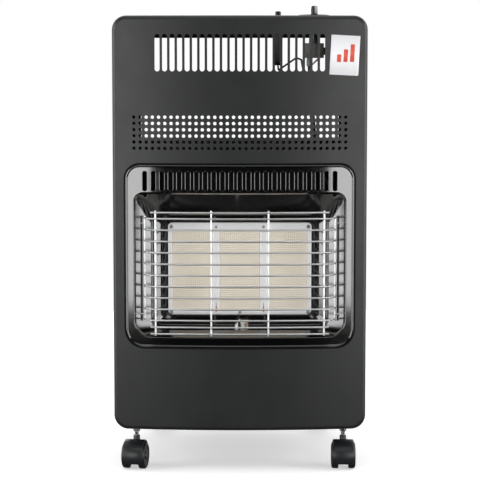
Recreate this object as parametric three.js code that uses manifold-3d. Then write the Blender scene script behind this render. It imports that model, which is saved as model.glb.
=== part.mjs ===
// Portable gas cabinet heater: a bent-steel cabinet on casters with a plaque burner in its front and
// room for a gas bottle behind. Millimetres, +Z up, front facing -Y, origin on the floor below the
// middle of the bounding box.

import * as THREE from "three";
import { mergeGeometries, mergeVertices } from "three/addons/utils/BufferGeometryUtils.js";
import Module from "manifold-3d";

const wasm = await Module();
wasm.setup();

// ---- Driving dimensions ---------------------------------------------------------------------------

const FIT = 0.3; // clearance between pieces that seat on each other
const SHEET = 1; // cabinet sheet steel

// Cabinet. A depth is measured back from the front panel's foremost line.
const WIDTH = 410;
const DEPTH = 412; // guard to rear cover
const PANEL_TOP = 744;
const PANEL_BOTTOM = 73;
const PANEL_BOW = 16; // how far the panel's middle stands forward of its sides
const PANEL_CORNER = 23;
const PANEL_BEND = 7;
const PANEL_FLANGE = 30;
const SHELL_FRONT = 24;
const SHELL_BACK = 290;
const SHELL_SIDE_FLANGE = 30;
const SHELL_TOP_FLANGE = 33;
const SHELL_HEM = 6;
const SHELL_HEM_RADIUS = 4;
const SHELL_FOOT = 34; // how far the foot of each side turns in
const HAND_HOLE = { length: 96, height: 26, z: 600, depth: 165 };
const SHIELD_DEPTH = 100;
const SHIELD_TOP = 540;
const SHIELD_BOTTOM = 96;
const SHIELD_FLANGE = 12;
const SHIELD_VENT = { count: 7, pitch: 44, low: 16, high: 46, width: 10 }; // above its bottom edge

// Openings in the front panel
const SLOT = { count: 23, pitch: 12, width: 8, bottom: 655, top: 714.5 };
const HOLE = { columns: 35, rows: 6, pitch: 10, diameter: 5.5, lowest: 532 };
const SURROUND_LAP = 8; // how far the surround's flange covers the panel

// Burner surround
const SURROUND = { half: 186, bottom: 208, top: 507.5, topRadius: 25, bottomRadius: 31 };
const MOUTH = { half: 170, bottom: 227, top: 460, topRadius: 15, bottomRadius: 27 };
const RECESS = { half: 140, bottom: 236, top: 420, topRadius: 12, bottomRadius: 16, depth: 65 };
const FLARE = { step: 3, depth: 32 }; // the recess's sides slope to this depth, then run nearly straight back
const FLOOR_BEND = 2;
const BEAD = { height: 4.2, shoulder: 1, foot: 0.4, crest: 2.2, fall: 4, width: 6 };
const SURROUND_FLANGE = 2; // the flange's face in front of the panel
const MOUTH_LIP = 4;
const BAND_SLOT = { count: 23, pitch: 13.9, width: 6.8, bottom: 464, top: 495 };
const BAND_CUT = { near: -9, far: 20 };

// Wire guard
const GUARD_PROUD = 5; // in front of the panel's foremost line
const WIRE = 3;
const WELD = 0.6; // how far crossing wires sink into each other
const GUARD_ROWS = { count: 10, lowest: 254, highest: 419, half: 146, bend: 8 };
const GUARD_END = { half: 154.5, depth: 20, leg: 10.5, lowLeg: 262, highLeg: 410 };
const SHORT_ROWS = { half: 144, above: 10, below: 11, belowCount: 2 };
const UPRIGHTS = [-136, -46, 46, 136];

// Burner
const PLAQUE = { count: 3, pitch: 78, width: 71.4, height: 136, thickness: 13, z: 328.5 };
const FRAME = { side: 5.8, end: 11.1, thickness: 3, radius: 6, bar: 9.6, lap: 1.6 };
const BODY_WALL = 3;
const BODY_BACK = 98;
const PLAQUE_LEDGE = 3;
const MIXER = { radius: 7.5, bell: 10, wall: 1, depth: 86.6, bottom: 221, top: 330, flare: 12 };
const RAIL = { left: -92, right: 100, bottom: 196, top: 208, front: 68 };
const INJECTOR = { radius: 5, tip: 2.4, height: 11 };

// Pilot group
const PILOT_PLATE = { left: -16, right: 28, front: 38, top: 222.2, thickness: 1.2, drop: 20 };
const PILOT_WINDOW = { left: -18, right: 30, front: 38, back: 62 };
const ELECTRODE = { x: -5.3, depth: 43, radius: 3.2, bottom: 216, top: 242, wire: 1, tip: 8 };
const PILOT = { x: 5.6, depth: 57, radius: 4, bottom: 214, top: 246 };
const THERMOCOUPLE = { x: 18, depth: 50, radius: 2, bottom: 214, knee: 230, top: 248, lean: -6.4 };

// Gas and ignition lines. All come down one side in a flat bundle, one behind the other.
const LINE_X = 112.5;
const LINE_SIDE_X = 160;
const LINE_TURN = { high: 508, low: 468 };
const LINE_BEND = 14;
const GAS_PIPE = { radius: 2.75, depths: [72, 79, 86], z: 202 };
const PILOT_PIPE = { radius: 2, z: 204 };
const LEAD = { radius: 1.5, z: 204 };
const LEAD_LOOP = { dip: 12, x: 84, high: 690, join: 684 }; // from the igniter up and over to the bundle
const LEAD_DROP = { straight: 16, joined: 46 }; // below the valve

// Controls, in a tray sunk in the top
const TRAY_DROP = 6;
const CONTROL_DEPTH = 62;
const CONTROL_OPENING = { left: 42, right: 152, half: 29, radius: 8, flange: 7 };
const KNOB = { x: 120, radius: 27, bottom: 742, skirt: 6, top: 762, bar: 11, barLength: 46 };
const PRESS_TRAVEL = 4;
const STEM = { radius: 4, bottom: 696, top: 755 };
const VALVE = { left: 104, right: 136, front: 47, back: 95, bottom: 676, top: 700, bonnet: 6 };
const BRACKET = { width: 14, web: 76, front: 50, back: 92, sheet: 1.2 };
const NOZZLE = { z: 687, radius: 4, length: 32, barbs: 4, barb: 1.3, collar: 6.5 };
const IGNITER = { x: 62, radius: 7, bottom: 664, neck: 6, neckTop: 743, well: 17, button: 4.7, top: 753.5 };
const IGNITER_TRAVEL = 8;
const IGNITER_NUT = { radius: 9, height: 4 };

// Base tray, rear cover and its rails
const TRAY = { sheet: 1.5, flange: 18, front: 50, lip: 12 };
const COVER = { inset: 37, corner: 40, top: 505, flange: 26, rim: 10 };
const COVER_SLOT = { columns: 2, rows: 7, width: 96, height: 8, pitch: 34, lowest: 190, gap: 24 };
const COVER_RAIL = { bottom: 90, top: 480, hook: 10, base: 8 };

// Casters
const WHEEL = { radius: 22.5, width: 11, gap: 17, sides: 14, chamfer: 2.5 };
const CASTER_TRAIL = 11;
const HOOD = { outer: 26, inner: 24, width: 34, front: 204.8, rear: 20 };
const NECK = { radius: 5.5, top: 53 };
const CASTER_STEM = { radius: 3.5, nut: 5.4, nutBottom: 60.3, socket: 9, socketBottom: 66.5, bottom: 34 };
const AXLE = 3; // radius
const FRONT_CASTERS = { inset: 34, depth: 62 };
const REAR_CASTERS = { inset: 65, fromBack: 61 };
const YAWS = { front_left: -10, front_right: 0, rear_left: 171, rear_right: -174 };

// How finely curves are faceted
const PANEL_STRIP_HOLES = 4; // the bowed panel's flat strips are this many hole pitches wide
const ARC_DIVISIONS = 2; // half the steps of a quarter arc in an outline
const CORNER_STEPS = 2 * ARC_DIVISIONS; // to a quarter turn
const SLOT_DIVISIONS = 1;
const BEND_STEPS = 3;
const ROUND = 10;
const SMALL_ROUND = 8;
const KNOB_SIDES = 24;
const PIPE_SIDES = 6;
const HOLE_SIDES = 5;
const WIRE_SIDES = 4;
const ROW_POINTS = 5; // along each bowed guard wire

// ---- Sizes that follow from them --------------------------------------------------------------------

const FRONT = GUARD_PROUD - DEPTH / 2;
const BACK = DEPTH / 2;
const BOW_RADIUS = ((WIDTH / 2) ** 2 + PANEL_BOW ** 2) / (2 * PANEL_BOW);
const SHELL_HALF = WIDTH / 2 - SHEET - FIT;
const SHELL_TOP = PANEL_TOP - SHEET - FIT;
const SHELL_BOTTOM = PANEL_BOTTOM + SHEET + FIT;
const SHELL_CORNER = PANEL_CORNER - SHEET - FIT;
const CONTROL_FLANGE_TOP = SHELL_TOP - SHEET - FIT;
const CONTROL_FLOOR_TOP = SHELL_TOP - TRAY_DROP;
const TRAY_TOP = SHELL_BOTTOM - FIT;
const TRAY_BOTTOM = TRAY_TOP - TRAY.sheet;
const PLAQUE_FRONT = RECESS.depth - FIT;
const BODY_FRONT = RECESS.depth + SHEET + FIT;
const AXLE_HEIGHT = WHEEL.radius * Math.cos(Math.PI / WHEEL.sides);
const HOOD_WEB = WHEEL.gap / 2 - FIT;
const PILOT_FLANGE_BACK = RAIL.front - FIT;
const FRAME_HALF = (PLAQUE.count * PLAQUE.pitch - FRAME.bar) / 2 + FRAME.side;
const FRAME_RISE = PLAQUE.height / 2 - FRAME.lap + FRAME.end;
const COVER_HALF = WIDTH / 2 - COVER.inset;
const FRONT_CASTER_X = WIDTH / 2 - FRONT_CASTERS.inset;
const REAR_CASTER_X = WIDTH / 2 - REAR_CASTERS.inset;
const REAR_CASTER_DEPTH = DEPTH - GUARD_PROUD - REAR_CASTERS.fromBack;
const CASTERS = [
  { name: "front_left", x: -FRONT_CASTER_X, depth: FRONT_CASTERS.depth },
  { name: "front_right", x: FRONT_CASTER_X, depth: FRONT_CASTERS.depth },
  { name: "rear_left", x: -REAR_CASTER_X, depth: REAR_CASTER_DEPTH },
  { name: "rear_right", x: REAR_CASTER_X, depth: REAR_CASTER_DEPTH },
];

const behind = (depth) => FRONT + depth;
const bow = (x) => BOW_RADIUS - Math.sqrt(BOW_RADIUS ** 2 - x ** 2);
// The corner radius that gives a faceted bar the round bar's section.
const sameSection = (radius, sides) => {
  const turn = (2 * Math.PI) / sides;
  return radius * Math.sqrt(turn / Math.sin(turn));
};
const radians = THREE.MathUtils.degToRad;
const evenly = (count, pitch) => Array.from({ length: count }, (_, i) => (i - (count - 1) / 2) * pitch);
const spread = (from, to, count) => (
  Array.from({ length: count }, (_, i) => from + ((to - from) * i) / (count - 1))
);

// ---- Solids -------------------------------------------------------------------------------------------

// The geometry as one closed skin: shared corners merged, flat slivers dropped, faces pointing out.
function closed(geometry) {
  const loose = geometry.index ? geometry.toNonIndexed() : geometry.clone();
  Object.keys(loose.attributes).forEach((name) => name !== "position" && loose.deleteAttribute(name));
  const skin = mergeVertices(loose, 1e-4);
  const point = (i) => new THREE.Vector3().fromBufferAttribute(skin.attributes.position, i);
  const faces = [];
  let volume = 0;
  for (let i = 0; i < skin.index.count; i += 3) {
    const [a, b, c] = [0, 1, 2].map((corner) => skin.index.getX(i + corner));
    if (a !== b && b !== c && c !== a) {
      faces.push([a, b, c]);
      volume += point(a).dot(point(b).cross(point(c)));
    }
  }
  skin.setIndex(faces.flatMap(([a, b, c]) => (volume > 0 ? [a, b, c] : [a, c, b])));
  return skin;
}

function toSolid(geometry) {
  const skin = closed(geometry);
  const vertProperties = Float32Array.from(skin.attributes.position.array);
  const triVerts = Uint32Array.from(skin.index.array);
  return new wasm.Manifold(new wasm.Mesh({ numProp: 3, vertProperties, triVerts }));
}

function toGeometry(solid) {
  const mesh = solid.getMesh();
  const geometry = new THREE.BufferGeometry();
  geometry.setAttribute("position", new THREE.BufferAttribute(mesh.vertProperties, mesh.numProp));
  geometry.setIndex(Array.from(mesh.triVerts));
  return geometry;
}

const join = (...pieces) => toGeometry(pieces.map(toSolid).reduce((sum, piece) => sum.add(piece)));

// Cutters that don't touch each other are cut in one go.
function cut(body, ...cutters) {
  const apart = mergeGeometries(cutters.map(closed).map((skin) => skin.toNonIndexed()));
  return toGeometry(toSolid(body).subtract(toSolid(apart)));
}

// ---- Outlines and extrusions --------------------------------------------------------------------------

function roundedRect(left, right, bottom, top, radius, bottomRadius = radius) {
  const shape = new THREE.Shape();
  shape.absarc(right - radius, top - radius, radius, 0, Math.PI / 2);
  shape.absarc(left + radius, top - radius, radius, Math.PI / 2, Math.PI);
  shape.absarc(left + bottomRadius, bottom + bottomRadius, bottomRadius, Math.PI, Math.PI * 1.5);
  shape.absarc(right - bottomRadius, bottom + bottomRadius, bottomRadius, Math.PI * 1.5, Math.PI * 2);
  return shape;
}

function slotOutline(x, bottom, top, width) {
  const radius = width / 2;
  const shape = new THREE.Shape();
  shape.absarc(x, top - radius, radius, 0, Math.PI);
  shape.absarc(x, bottom + radius, radius, Math.PI, Math.PI * 2);
  return shape;
}

const polygon = (...points) => new THREE.Shape(points.map(([x, y]) => new THREE.Vector2(x, y)));

const extruded = (shape, depth, steps) => (
  new THREE.ExtrudeGeometry(shape, { depth, bevelEnabled: false, curveSegments: steps })
);

// An outline in x and y, from one height to another.
const upright = (shape, bottom, top, steps = ARC_DIVISIONS) => (
  extruded(shape, top - bottom, steps).translate(0, 0, bottom)
);

// An outline in x and z, from one depth back to another.
const frontOn = (shape, near, far, steps = ARC_DIVISIONS) => (
  extruded(shape, far - near, steps).rotateX(Math.PI / 2).translate(0, behind(far), 0)
);

// An outline in y and z, from one x to another.
const sideOn = (shape, left, right, steps = ARC_DIVISIONS) => (
  extruded(shape, right - left, steps)
    .applyMatrix4(new THREE.Matrix4().makeBasis(
      new THREE.Vector3(0, 1, 0), new THREE.Vector3(0, 0, 1), new THREE.Vector3(1, 0, 0),
    ))
    .translate(left, 0, 0)
);

// A plate in x and z with every edge rounded off.
function softPlate(shape, near, far, edge) {
  const options = { depth: far - near - 2 * edge, bevelThickness: edge, bevelSize: edge };
  return new THREE.ExtrudeGeometry(shape, {
    ...options, bevelOffset: -edge, bevelSegments: 1, curveSegments: 1,
  }).rotateX(Math.PI / 2).translate(0, behind(far - edge), 0);
}

const block = (left, right, near, far, bottom, top) => (
  new THREE.BoxGeometry(right - left, far - near, top - bottom)
    .translate((left + right) / 2, behind((near + far) / 2), (bottom + top) / 2)
);

// A round bar standing at x and a depth.
const post = (x, depth, radius, bottom, top, sides = ROUND) => (
  new THREE.CylinderGeometry(radius, radius, top - bottom, sides)
    .rotateX(Math.PI / 2).translate(x, behind(depth), (bottom + top) / 2)
);

// A profile of [radius, height] pairs turned about the upright line at x and a depth.
const turned = (profile, x, depth, sides = ROUND) => (
  new THREE.LatheGeometry(profile.map(([r, z]) => new THREE.Vector2(r, z)), sides)
    .rotateX(Math.PI / 2).translate(x, behind(depth), 0)
);

// ---- Lofts --------------------------------------------------------------------------------------------

// Skins a row of rings. The row closes on itself, or its two ends are capped rung by rung.
function loft(rings, ends = "capped") {
  const count = rings[0].length;
  const rows = ends === "capped" ? rings.length - 1 : rings.length;
  const index = [];
  for (let row = 0; row < rows; row += 1) {
    const here = row * count;
    const next = ((row + 1) % rings.length) * count;
    for (let i = 0; i < count; i += 1) {
      const j = (i + 1) % count;
      index.push(here + i, here + j, next + j, here + i, next + j, next + i);
    }
  }
  const cap = (start, flip) => {
    for (let low = 0, high = count - 1; high - low > 1; low += 1, high -= 1) {
      const rung = [[low, low + 1, high - 1], [low, high - 1, high]].filter((f) => new Set(f).size === 3);
      rung.forEach(([a, b, c]) => index.push(...(flip ? [a, c, b] : [a, b, c]).map((i) => start + i)));
    }
  };
  if (ends === "capped") {
    cap(0, true);
    cap((rings.length - 1) * count, false);
  }
  const geometry = new THREE.BufferGeometry().setFromPoints(rings.flat());
  geometry.setIndex(index);
  return closed(geometry);
}

// A rounded rectangle seen from the front: its top edge from left to right, then its bottom edge back,
// with a point at each column. depthAt gives each point's depth from its x.
function outline({ half, bottom, top, topRadius, bottomRadius = topRadius }, columnsIn, depthAt) {
  const edge = (z, radius, up) => {
    const corner = spread(0, Math.PI / 2, CORNER_STEPS + 1).map((angle) => [
      half - radius + radius * Math.cos(angle), z - up * radius * (1 - Math.sin(angle)),
    ]);
    const left = corner.map(([x, height]) => [-x, height]);
    const middle = columnsIn(half - radius).map((x) => [x, z]);
    return [...left, ...middle, ...corner.reverse()];
  };
  return [...edge(top, topRadius, 1), ...edge(bottom, bottomRadius, -1).reverse()]
    .map(([x, z]) => new THREE.Vector3(x, behind(depthAt(x)), z));
}

const inset = (rect, by) => ({
  half: rect.half - by,
  bottom: rect.bottom + by,
  top: rect.top - by,
  topRadius: rect.topRadius - by,
  bottomRadius: (rect.bottomRadius ?? rect.topRadius) - by,
});

// The corners' path with each inner corner rounded.
function roundedPath(corners, bend, steps = BEND_STEPS) {
  const points = [corners[0]];
  for (let i = 1; i < corners.length - 1; i += 1) {
    const back = corners[i - 1].clone().sub(corners[i]);
    const on = corners[i + 1].clone().sub(corners[i]);
    const half = back.angleTo(on) / 2;
    const reach = Math.min(bend / Math.tan(half), back.length() * 0.49, on.length() * 0.49);
    const radius = reach * Math.tan(half);
    back.normalize();
    on.normalize();
    const middle = back.clone().add(on).normalize();
    const centre = corners[i].clone().addScaledVector(middle, radius / Math.sin(half));
    const from = corners[i].clone().addScaledVector(back, reach).sub(centre);
    const to = corners[i].clone().addScaledVector(on, reach).sub(centre);
    const sweep = from.angleTo(to);
    const axis = from.clone().cross(to).normalize();
    spread(0, sweep, steps + 1).forEach((angle) => {
      points.push(from.clone().applyAxisAngle(axis, angle).add(centre));
    });
  }
  points.push(corners.at(-1));
  return points;
}

// A round bar along a path, square to it at both ends.
function bar(points, radius, sides) {
  const tangents = points.map((point, i) => {
    const on = (points[i + 1] ?? point).clone().sub(point).normalize();
    const back = point.clone().sub(points[i - 1] ?? point).normalize();
    return on.add(back).normalize();
  });
  const across = new THREE.Vector3(0, 1, 0).cross(tangents[0]);
  if (across.length() < 0.1) {
    across.set(1, 0, 0);
  }
  across.normalize();
  const rings = points.map((point, i) => {
    if (i > 0) {
      across.applyQuaternion(new THREE.Quaternion().setFromUnitVectors(tangents[i - 1], tangents[i]));
    }
    const turn = (2 * Math.PI) / sides;
    return Array.from({ length: sides }, (_, side) => (
      across.clone().applyAxisAngle(tangents[i], (side + 0.5) * turn).multiplyScalar(radius).add(point)
    ));
  });
  return loft(rings);
}

const at = (x, depth, z) => new THREE.Vector3(x, behind(depth), z);

// ---- Cabinet ------------------------------------------------------------------------------------------

// A bowed pan: the face runs into a bend and a flange that turns back. The holes lie between columns.
function frontPanel() {
  const rect = { half: WIDTH / 2, bottom: PANEL_BOTTOM, top: PANEL_TOP, topRadius: PANEL_CORNER };
  const straight = WIDTH / 2 - PANEL_CORNER;
  const strip = HOLE.pitch * PANEL_STRIP_HOLES;
  const right = Array.from(
    { length: Math.ceil((straight - HOLE.pitch) / strip) }, (_, i) => HOLE.pitch / 2 + i * strip,
  );
  const columns = [...right.map((x) => -x).reverse(), ...right];
  const skin = (wall) => {
    const bend = PANEL_BEND - wall;
    return spread(0, Math.PI / 2, BEND_STEPS + 1).map((angle) => outline(
      inset(rect, wall + bend * (1 - Math.sin(angle))),
      () => columns,
      (x) => wall + bend * (1 - Math.cos(angle)) + bow(x),
    ));
  };
  const rim = (wall) => outline(inset(rect, wall), () => columns, () => PANEL_FLANGE);
  const pan = loft([...skin(0), rim(0), rim(SHEET), ...skin(SHEET).reverse()]);

  const near = -PANEL_BEND;
  const far = PANEL_BOW + PANEL_BEND;
  const slots = evenly(SLOT.count, SLOT.pitch).map((x) => (
    frontOn(slotOutline(x, SLOT.bottom, SLOT.top, SLOT.width), near, far, SLOT_DIVISIONS)
  ));
  const holes = evenly(HOLE.columns, HOLE.pitch).flatMap((x) => (
    spread(HOLE.lowest, HOLE.lowest + (HOLE.rows - 1) * HOLE.pitch, HOLE.rows).map((z) => (
      new THREE.CylinderGeometry(HOLE.diameter / 2, HOLE.diameter / 2, far - near, HOLE_SIDES)
        .translate(x, behind((near + far) / 2), z)
    ))
  ));
  const { half, bottom, top, topRadius, bottomRadius } = inset(SURROUND, SURROUND_LAP);
  const window = frontOn(roundedRect(-half, half, bottom, top, topRadius, bottomRadius), near, far);
  return cut(pan, ...slots, ...holes, window);
}

// Half of an arch seen from the front, from its foot to its crown. A lip turns its foot in.
function archSide(half, bottom, top, radius, lip) {
  const path = new THREE.Path();
  if (lip > 0) {
    path.moveTo(half - lip, bottom);
    path.absarc(half - radius, bottom + radius, radius, Math.PI * 1.5, Math.PI * 2);
  } else {
    path.moveTo(half, bottom);
  }
  path.absarc(half - radius, top - radius, radius, 0, Math.PI / 2);
  return path.getPoints(ARC_DIVISIONS);
}

// The strip between two such arches.
function archway(outer, inner, near, far) {
  const mirrored = (points) => [
    ...points, ...points.map(({ x, y }) => new THREE.Vector2(-x, y)).reverse(),
  ];
  return frontOn(new THREE.Shape([...mirrored(outer), ...mirrored(inner).reverse()]), near, far);
}

// Sides and top in one sheet, with its foot turned in and its rear edge turned in and hemmed.
function cabinetShell() {
  const outer = archSide(SHELL_HALF, SHELL_BOTTOM, SHELL_TOP, SHELL_CORNER, SHELL_FOOT);
  const inner = archSide(
    SHELL_HALF - SHEET, SHELL_BOTTOM + SHEET, SHELL_TOP - SHEET, SHELL_CORNER - SHEET, SHELL_FOOT - SHEET,
  );
  const wrap = archway(outer, inner, SHELL_FRONT, SHELL_BACK);
  const opening = { half: SHELL_HALF - SHELL_SIDE_FLANGE, top: SHELL_TOP - SHELL_TOP_FLANGE };
  const flange = archway(
    outer, archSide(opening.half, SHELL_BOTTOM, opening.top, SHELL_HEM_RADIUS, 0),
    SHELL_BACK - SHEET, SHELL_BACK,
  );
  const hem = archway(
    archSide(opening.half + SHEET, SHELL_BOTTOM, opening.top + SHEET, SHELL_HEM_RADIUS + SHEET, 0),
    archSide(opening.half, SHELL_BOTTOM, opening.top, SHELL_HEM_RADIUS, 0),
    SHELL_BACK - SHELL_HEM, SHELL_BACK,
  );
  const hold = roundedRect(
    behind(HAND_HOLE.depth) - HAND_HOLE.length / 2, behind(HAND_HOLE.depth) + HAND_HOLE.length / 2,
    HAND_HOLE.z - HAND_HOLE.height / 2, HAND_HOLE.z + HAND_HOLE.height / 2, HAND_HOLE.height / 2.2,
  );
  const handHoles = sideOn(hold, -WIDTH / 2, WIDTH / 2);
  const { left, right, half, radius } = CONTROL_OPENING;
  const middle = behind(CONTROL_DEPTH);
  const control = upright(
    roundedRect(left, right, middle - half, middle + half, radius), CONTROL_FLOOR_TOP, PANEL_TOP,
  );
  return cut(join(wrap, flange, hem), handHoles, control);
}

// The sheet between the burner and the bottle, flanged to the cabinet's sides.
function heatShield() {
  const half = SHELL_HALF - SHEET - FIT;
  const near = behind(SHIELD_DEPTH);
  const far = near + SHEET;
  const plan = polygon(
    [-half, near], [half, near], [half, near + SHIELD_FLANGE], [half - SHEET, near + SHIELD_FLANGE],
    [half - SHEET, far], [-half + SHEET, far], [-half + SHEET, near + SHIELD_FLANGE],
    [-half, near + SHIELD_FLANGE],
  );
  const { count, pitch, low, high, width } = SHIELD_VENT;
  const vents = evenly(count, pitch).map((x) => (
    frontOn(slotOutline(x, SHIELD_BOTTOM + low, SHIELD_BOTTOM + high, width),
      SHIELD_DEPTH - SHEET, SHIELD_DEPTH + 2 * SHEET)
  ));
  return cut(upright(plan, SHIELD_BOTTOM, SHIELD_TOP), ...vents);
}

// The floor, wide under the shell's feet and narrow under the rear cover. Its front edge and the lip
// behind the bottle turn up.
function baseTray() {
  const half = SHELL_HALF - SHELL_CORNER / 2;
  const step = behind(SHELL_BACK) + COVER_RAIL.base / 2;
  const front = behind(TRAY.front);
  const plan = new THREE.Shape();
  plan.moveTo(-half, front);
  plan.lineTo(half, front);
  plan.lineTo(half, step);
  plan.lineTo(COVER_HALF, step);
  plan.absarc(COVER_HALF - COVER.corner, BACK - COVER.corner, COVER.corner, 0, Math.PI / 2);
  plan.absarc(COVER.corner - COVER_HALF, BACK - COVER.corner, COVER.corner, Math.PI / 2, Math.PI);
  plan.lineTo(-COVER_HALF, step);
  plan.lineTo(-half, step);
  const floor = upright(plan, TRAY_BOTTOM, TRAY_TOP);

  const between = SHELL_HALF - SHELL_FOOT - FIT;
  const turnedUp = block(
    -between, between, TRAY.front, TRAY.front + TRAY.sheet, TRAY_BOTTOM, TRAY_BOTTOM + TRAY.flange,
  );
  const lipHalf = COVER_HALF - SHEET - FIT;
  const lipBack = BACK - SHEET - FIT;
  const lipCorner = COVER.corner - SHEET - FIT;
  const lip = upright(
    bottleBay(lipHalf, lipBack, lipCorner, TRAY.sheet, BACK - COVER.corner),
    TRAY_BOTTOM, TRAY_TOP + TRAY.lip,
  );
  const holes = CASTERS.map(({ x, depth }) => (
    post(x, depth, CASTER_STEM.radius + FIT, TRAY_BOTTOM - 1, TRAY_TOP + 1, SMALL_ROUND)
  ));
  return cut(join(floor, turnedUp, lip), ...holes);
}

// A band in plan that follows the rear cover's back and corners, from a line at y = start.
function bottleBay(half, back, corner, wall, start) {
  const shape = new THREE.Shape();
  shape.moveTo(half, start);
  shape.absarc(half - corner, back - corner, corner, 0, Math.PI / 2);
  shape.absarc(corner - half, back - corner, corner, Math.PI / 2, Math.PI);
  shape.lineTo(-half, start);
  shape.lineTo(wall - half, start);
  shape.absarc(corner - half, back - corner, corner - wall, Math.PI, Math.PI / 2, true);
  shape.absarc(half - corner, back - corner, corner - wall, Math.PI / 2, 0, true);
  shape.lineTo(half - wall, start);
  return shape;
}

// The cover lifts off its rails. Its rim is turned in along the top.
function rearCover() {
  const seat = behind(SHELL_BACK) + FIT;
  const bottom = TRAY_TOP + FIT;
  const wrap = upright(bottleBay(COVER_HALF, BACK, COVER.corner, SHEET, seat), bottom, COVER.top);
  const wings = [-1, 1].map((side) => {
    const [inner, outer] = [COVER_HALF - SHEET, COVER_HALF + COVER.flange];
    const [left, right] = side < 0 ? [-outer, -inner] : [inner, outer];
    const top = COVER_RAIL.top;
    return upright(polygon([left, seat], [right, seat], [right, seat + SHEET], [left, seat + SHEET]),
      COVER_RAIL.bottom, top);
  });
  const rim = upright(
    bottleBay(COVER_HALF, BACK, COVER.corner, COVER.rim, seat), COVER.top - SHEET, COVER.top,
  );
  const reach = COVER_SLOT.width / 2;
  const vents = evenly(COVER_SLOT.columns, COVER_SLOT.width + COVER_SLOT.gap).flatMap((x) => (
    Array.from({ length: COVER_SLOT.rows }, (_, row) => {
      const z = COVER_SLOT.lowest + row * COVER_SLOT.pitch;
      const rear = BACK - FRONT;
      return block(x - reach, x + reach, rear - 2 * SHEET, rear + SHEET, z, z + COVER_SLOT.height);
    })
  ));
  return cut(join(wrap, ...wings, rim), ...vents);
}

// A strip on the shell's rear flange whose hook holds the cover's wing.
function coverRail(side) {
  const near = behind(SHELL_BACK) + FIT;
  const spine = COVER_HALF + COVER.flange + FIT;
  const hook = near + SHEET + FIT;
  const points = [
    [spine + COVER_RAIL.base, near], [spine + COVER_RAIL.base, near + SHEET], [spine + SHEET, near + SHEET],
    [spine + SHEET, hook + SHEET], [spine + SHEET - COVER_RAIL.hook, hook + SHEET],
    [spine + SHEET - COVER_RAIL.hook, hook], [spine, hook], [spine, near],
  ].map(([x, y]) => [side * x, y]);
  return upright(polygon(...points), COVER_RAIL.bottom, COVER_RAIL.top);
}

// ---- Burner surround and guard ------------------------------------------------------------------------

// One pressing: bead, slotted flange, lip, a recess that flares and then runs nearly straight back, and the
// plate that the burner fits.
function burnerSurround() {
  const columns = (straight) => evenly(5, straight / 3);
  const ring = (rect, depth, bowed = 1) => outline(rect, columns, (x) => depth + bowed * bow(x));
  const opening = burnerOpening();
  const face = -SURROUND_FLANGE;
  const { height, shoulder, foot, crest, fall, width } = BEAD;
  const roll = MOUTH_LIP * 0.3; // part of the way round the lip
  const front = [
    ring(SURROUND, -FIT),
    ring(inset(SURROUND, foot), shoulder - height),
    ring(inset(SURROUND, crest), -height),
    ring(inset(SURROUND, fall), shoulder - height),
    ring(inset(SURROUND, width), face),
    ring(inset(MOUTH, -MOUTH_LIP), face),
    ring(inset(MOUTH, -roll), face + roll),
    ring(MOUTH, face + MOUTH_LIP),
    ring(inset(RECESS, -FLARE.step), FLARE.depth, 0),
    ring(RECESS, RECESS.depth - FLOOR_BEND, 0),
    ring(inset(RECESS, FLOOR_BEND), RECESS.depth, 0),
    ring(opening, RECESS.depth, 0),
  ];
  const back = [
    ring(opening, RECESS.depth + SHEET, 0),
    ring(inset(RECESS, FLOOR_BEND - SHEET / 2), RECESS.depth + SHEET, 0),
    ring(inset(RECESS, -SHEET), RECESS.depth - FLOOR_BEND + SHEET / 2, 0),
    ring(inset(RECESS, -FLARE.step - SHEET), FLARE.depth + SHEET / 2, 0),
    ring(inset(MOUTH, -SHEET), face + MOUTH_LIP + SHEET / 2),
    ring(inset(MOUTH, -roll - SHEET), face + roll + SHEET),
    ring(inset(MOUTH, -MOUTH_LIP - SHEET), face + SHEET),
    ring(inset(SURROUND, width), face + SHEET),
    ring(inset(SURROUND, fall), shoulder - height + SHEET),
    ring(inset(SURROUND, crest), SHEET - height),
    ring(inset(SURROUND, SHEET), shoulder - height + SHEET),
    ring(inset(SURROUND, SHEET), -FIT),
  ];
  const pressing = loft([...front, ...back], "ring");

  const slots = evenly(BAND_SLOT.count, BAND_SLOT.pitch).map((x) => (
    frontOn(slotOutline(x, BAND_SLOT.bottom, BAND_SLOT.top, BAND_SLOT.width),
      BAND_CUT.near, BAND_CUT.far, SLOT_DIVISIONS)
  ));
  const wireHoles = [GUARD_END.lowLeg, GUARD_END.highLeg].flatMap((z) => [-1, 1].map((side) => (
    bar([at(side * GUARD_END.half, GUARD_END.depth, z), at(side * (GUARD_END.half + 14), GUARD_END.depth, z)],
      WIRE / 2 + 2 * FIT, SMALL_ROUND)
  )));
  const pilotWindow = block(
    PILOT_WINDOW.left, PILOT_WINDOW.right, PILOT_WINDOW.front, PILOT_WINDOW.back,
    PILOT_PLATE.top, RECESS.bottom + 6,
  );
  return cut(pressing, ...slots, ...wireHoles, pilotWindow);
}

// The hole in the recess's back plate that the plaques show through.
function burnerOpening() {
  const half = ((PLAQUE.count - 1) * PLAQUE.pitch + PLAQUE.width) / 2 + FIT;
  const rise = PLAQUE.height / 2 + FIT;
  return { half, bottom: PLAQUE.z - rise, top: PLAQUE.z + rise, topRadius: 2, bottomRadius: 2 };
}

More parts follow.
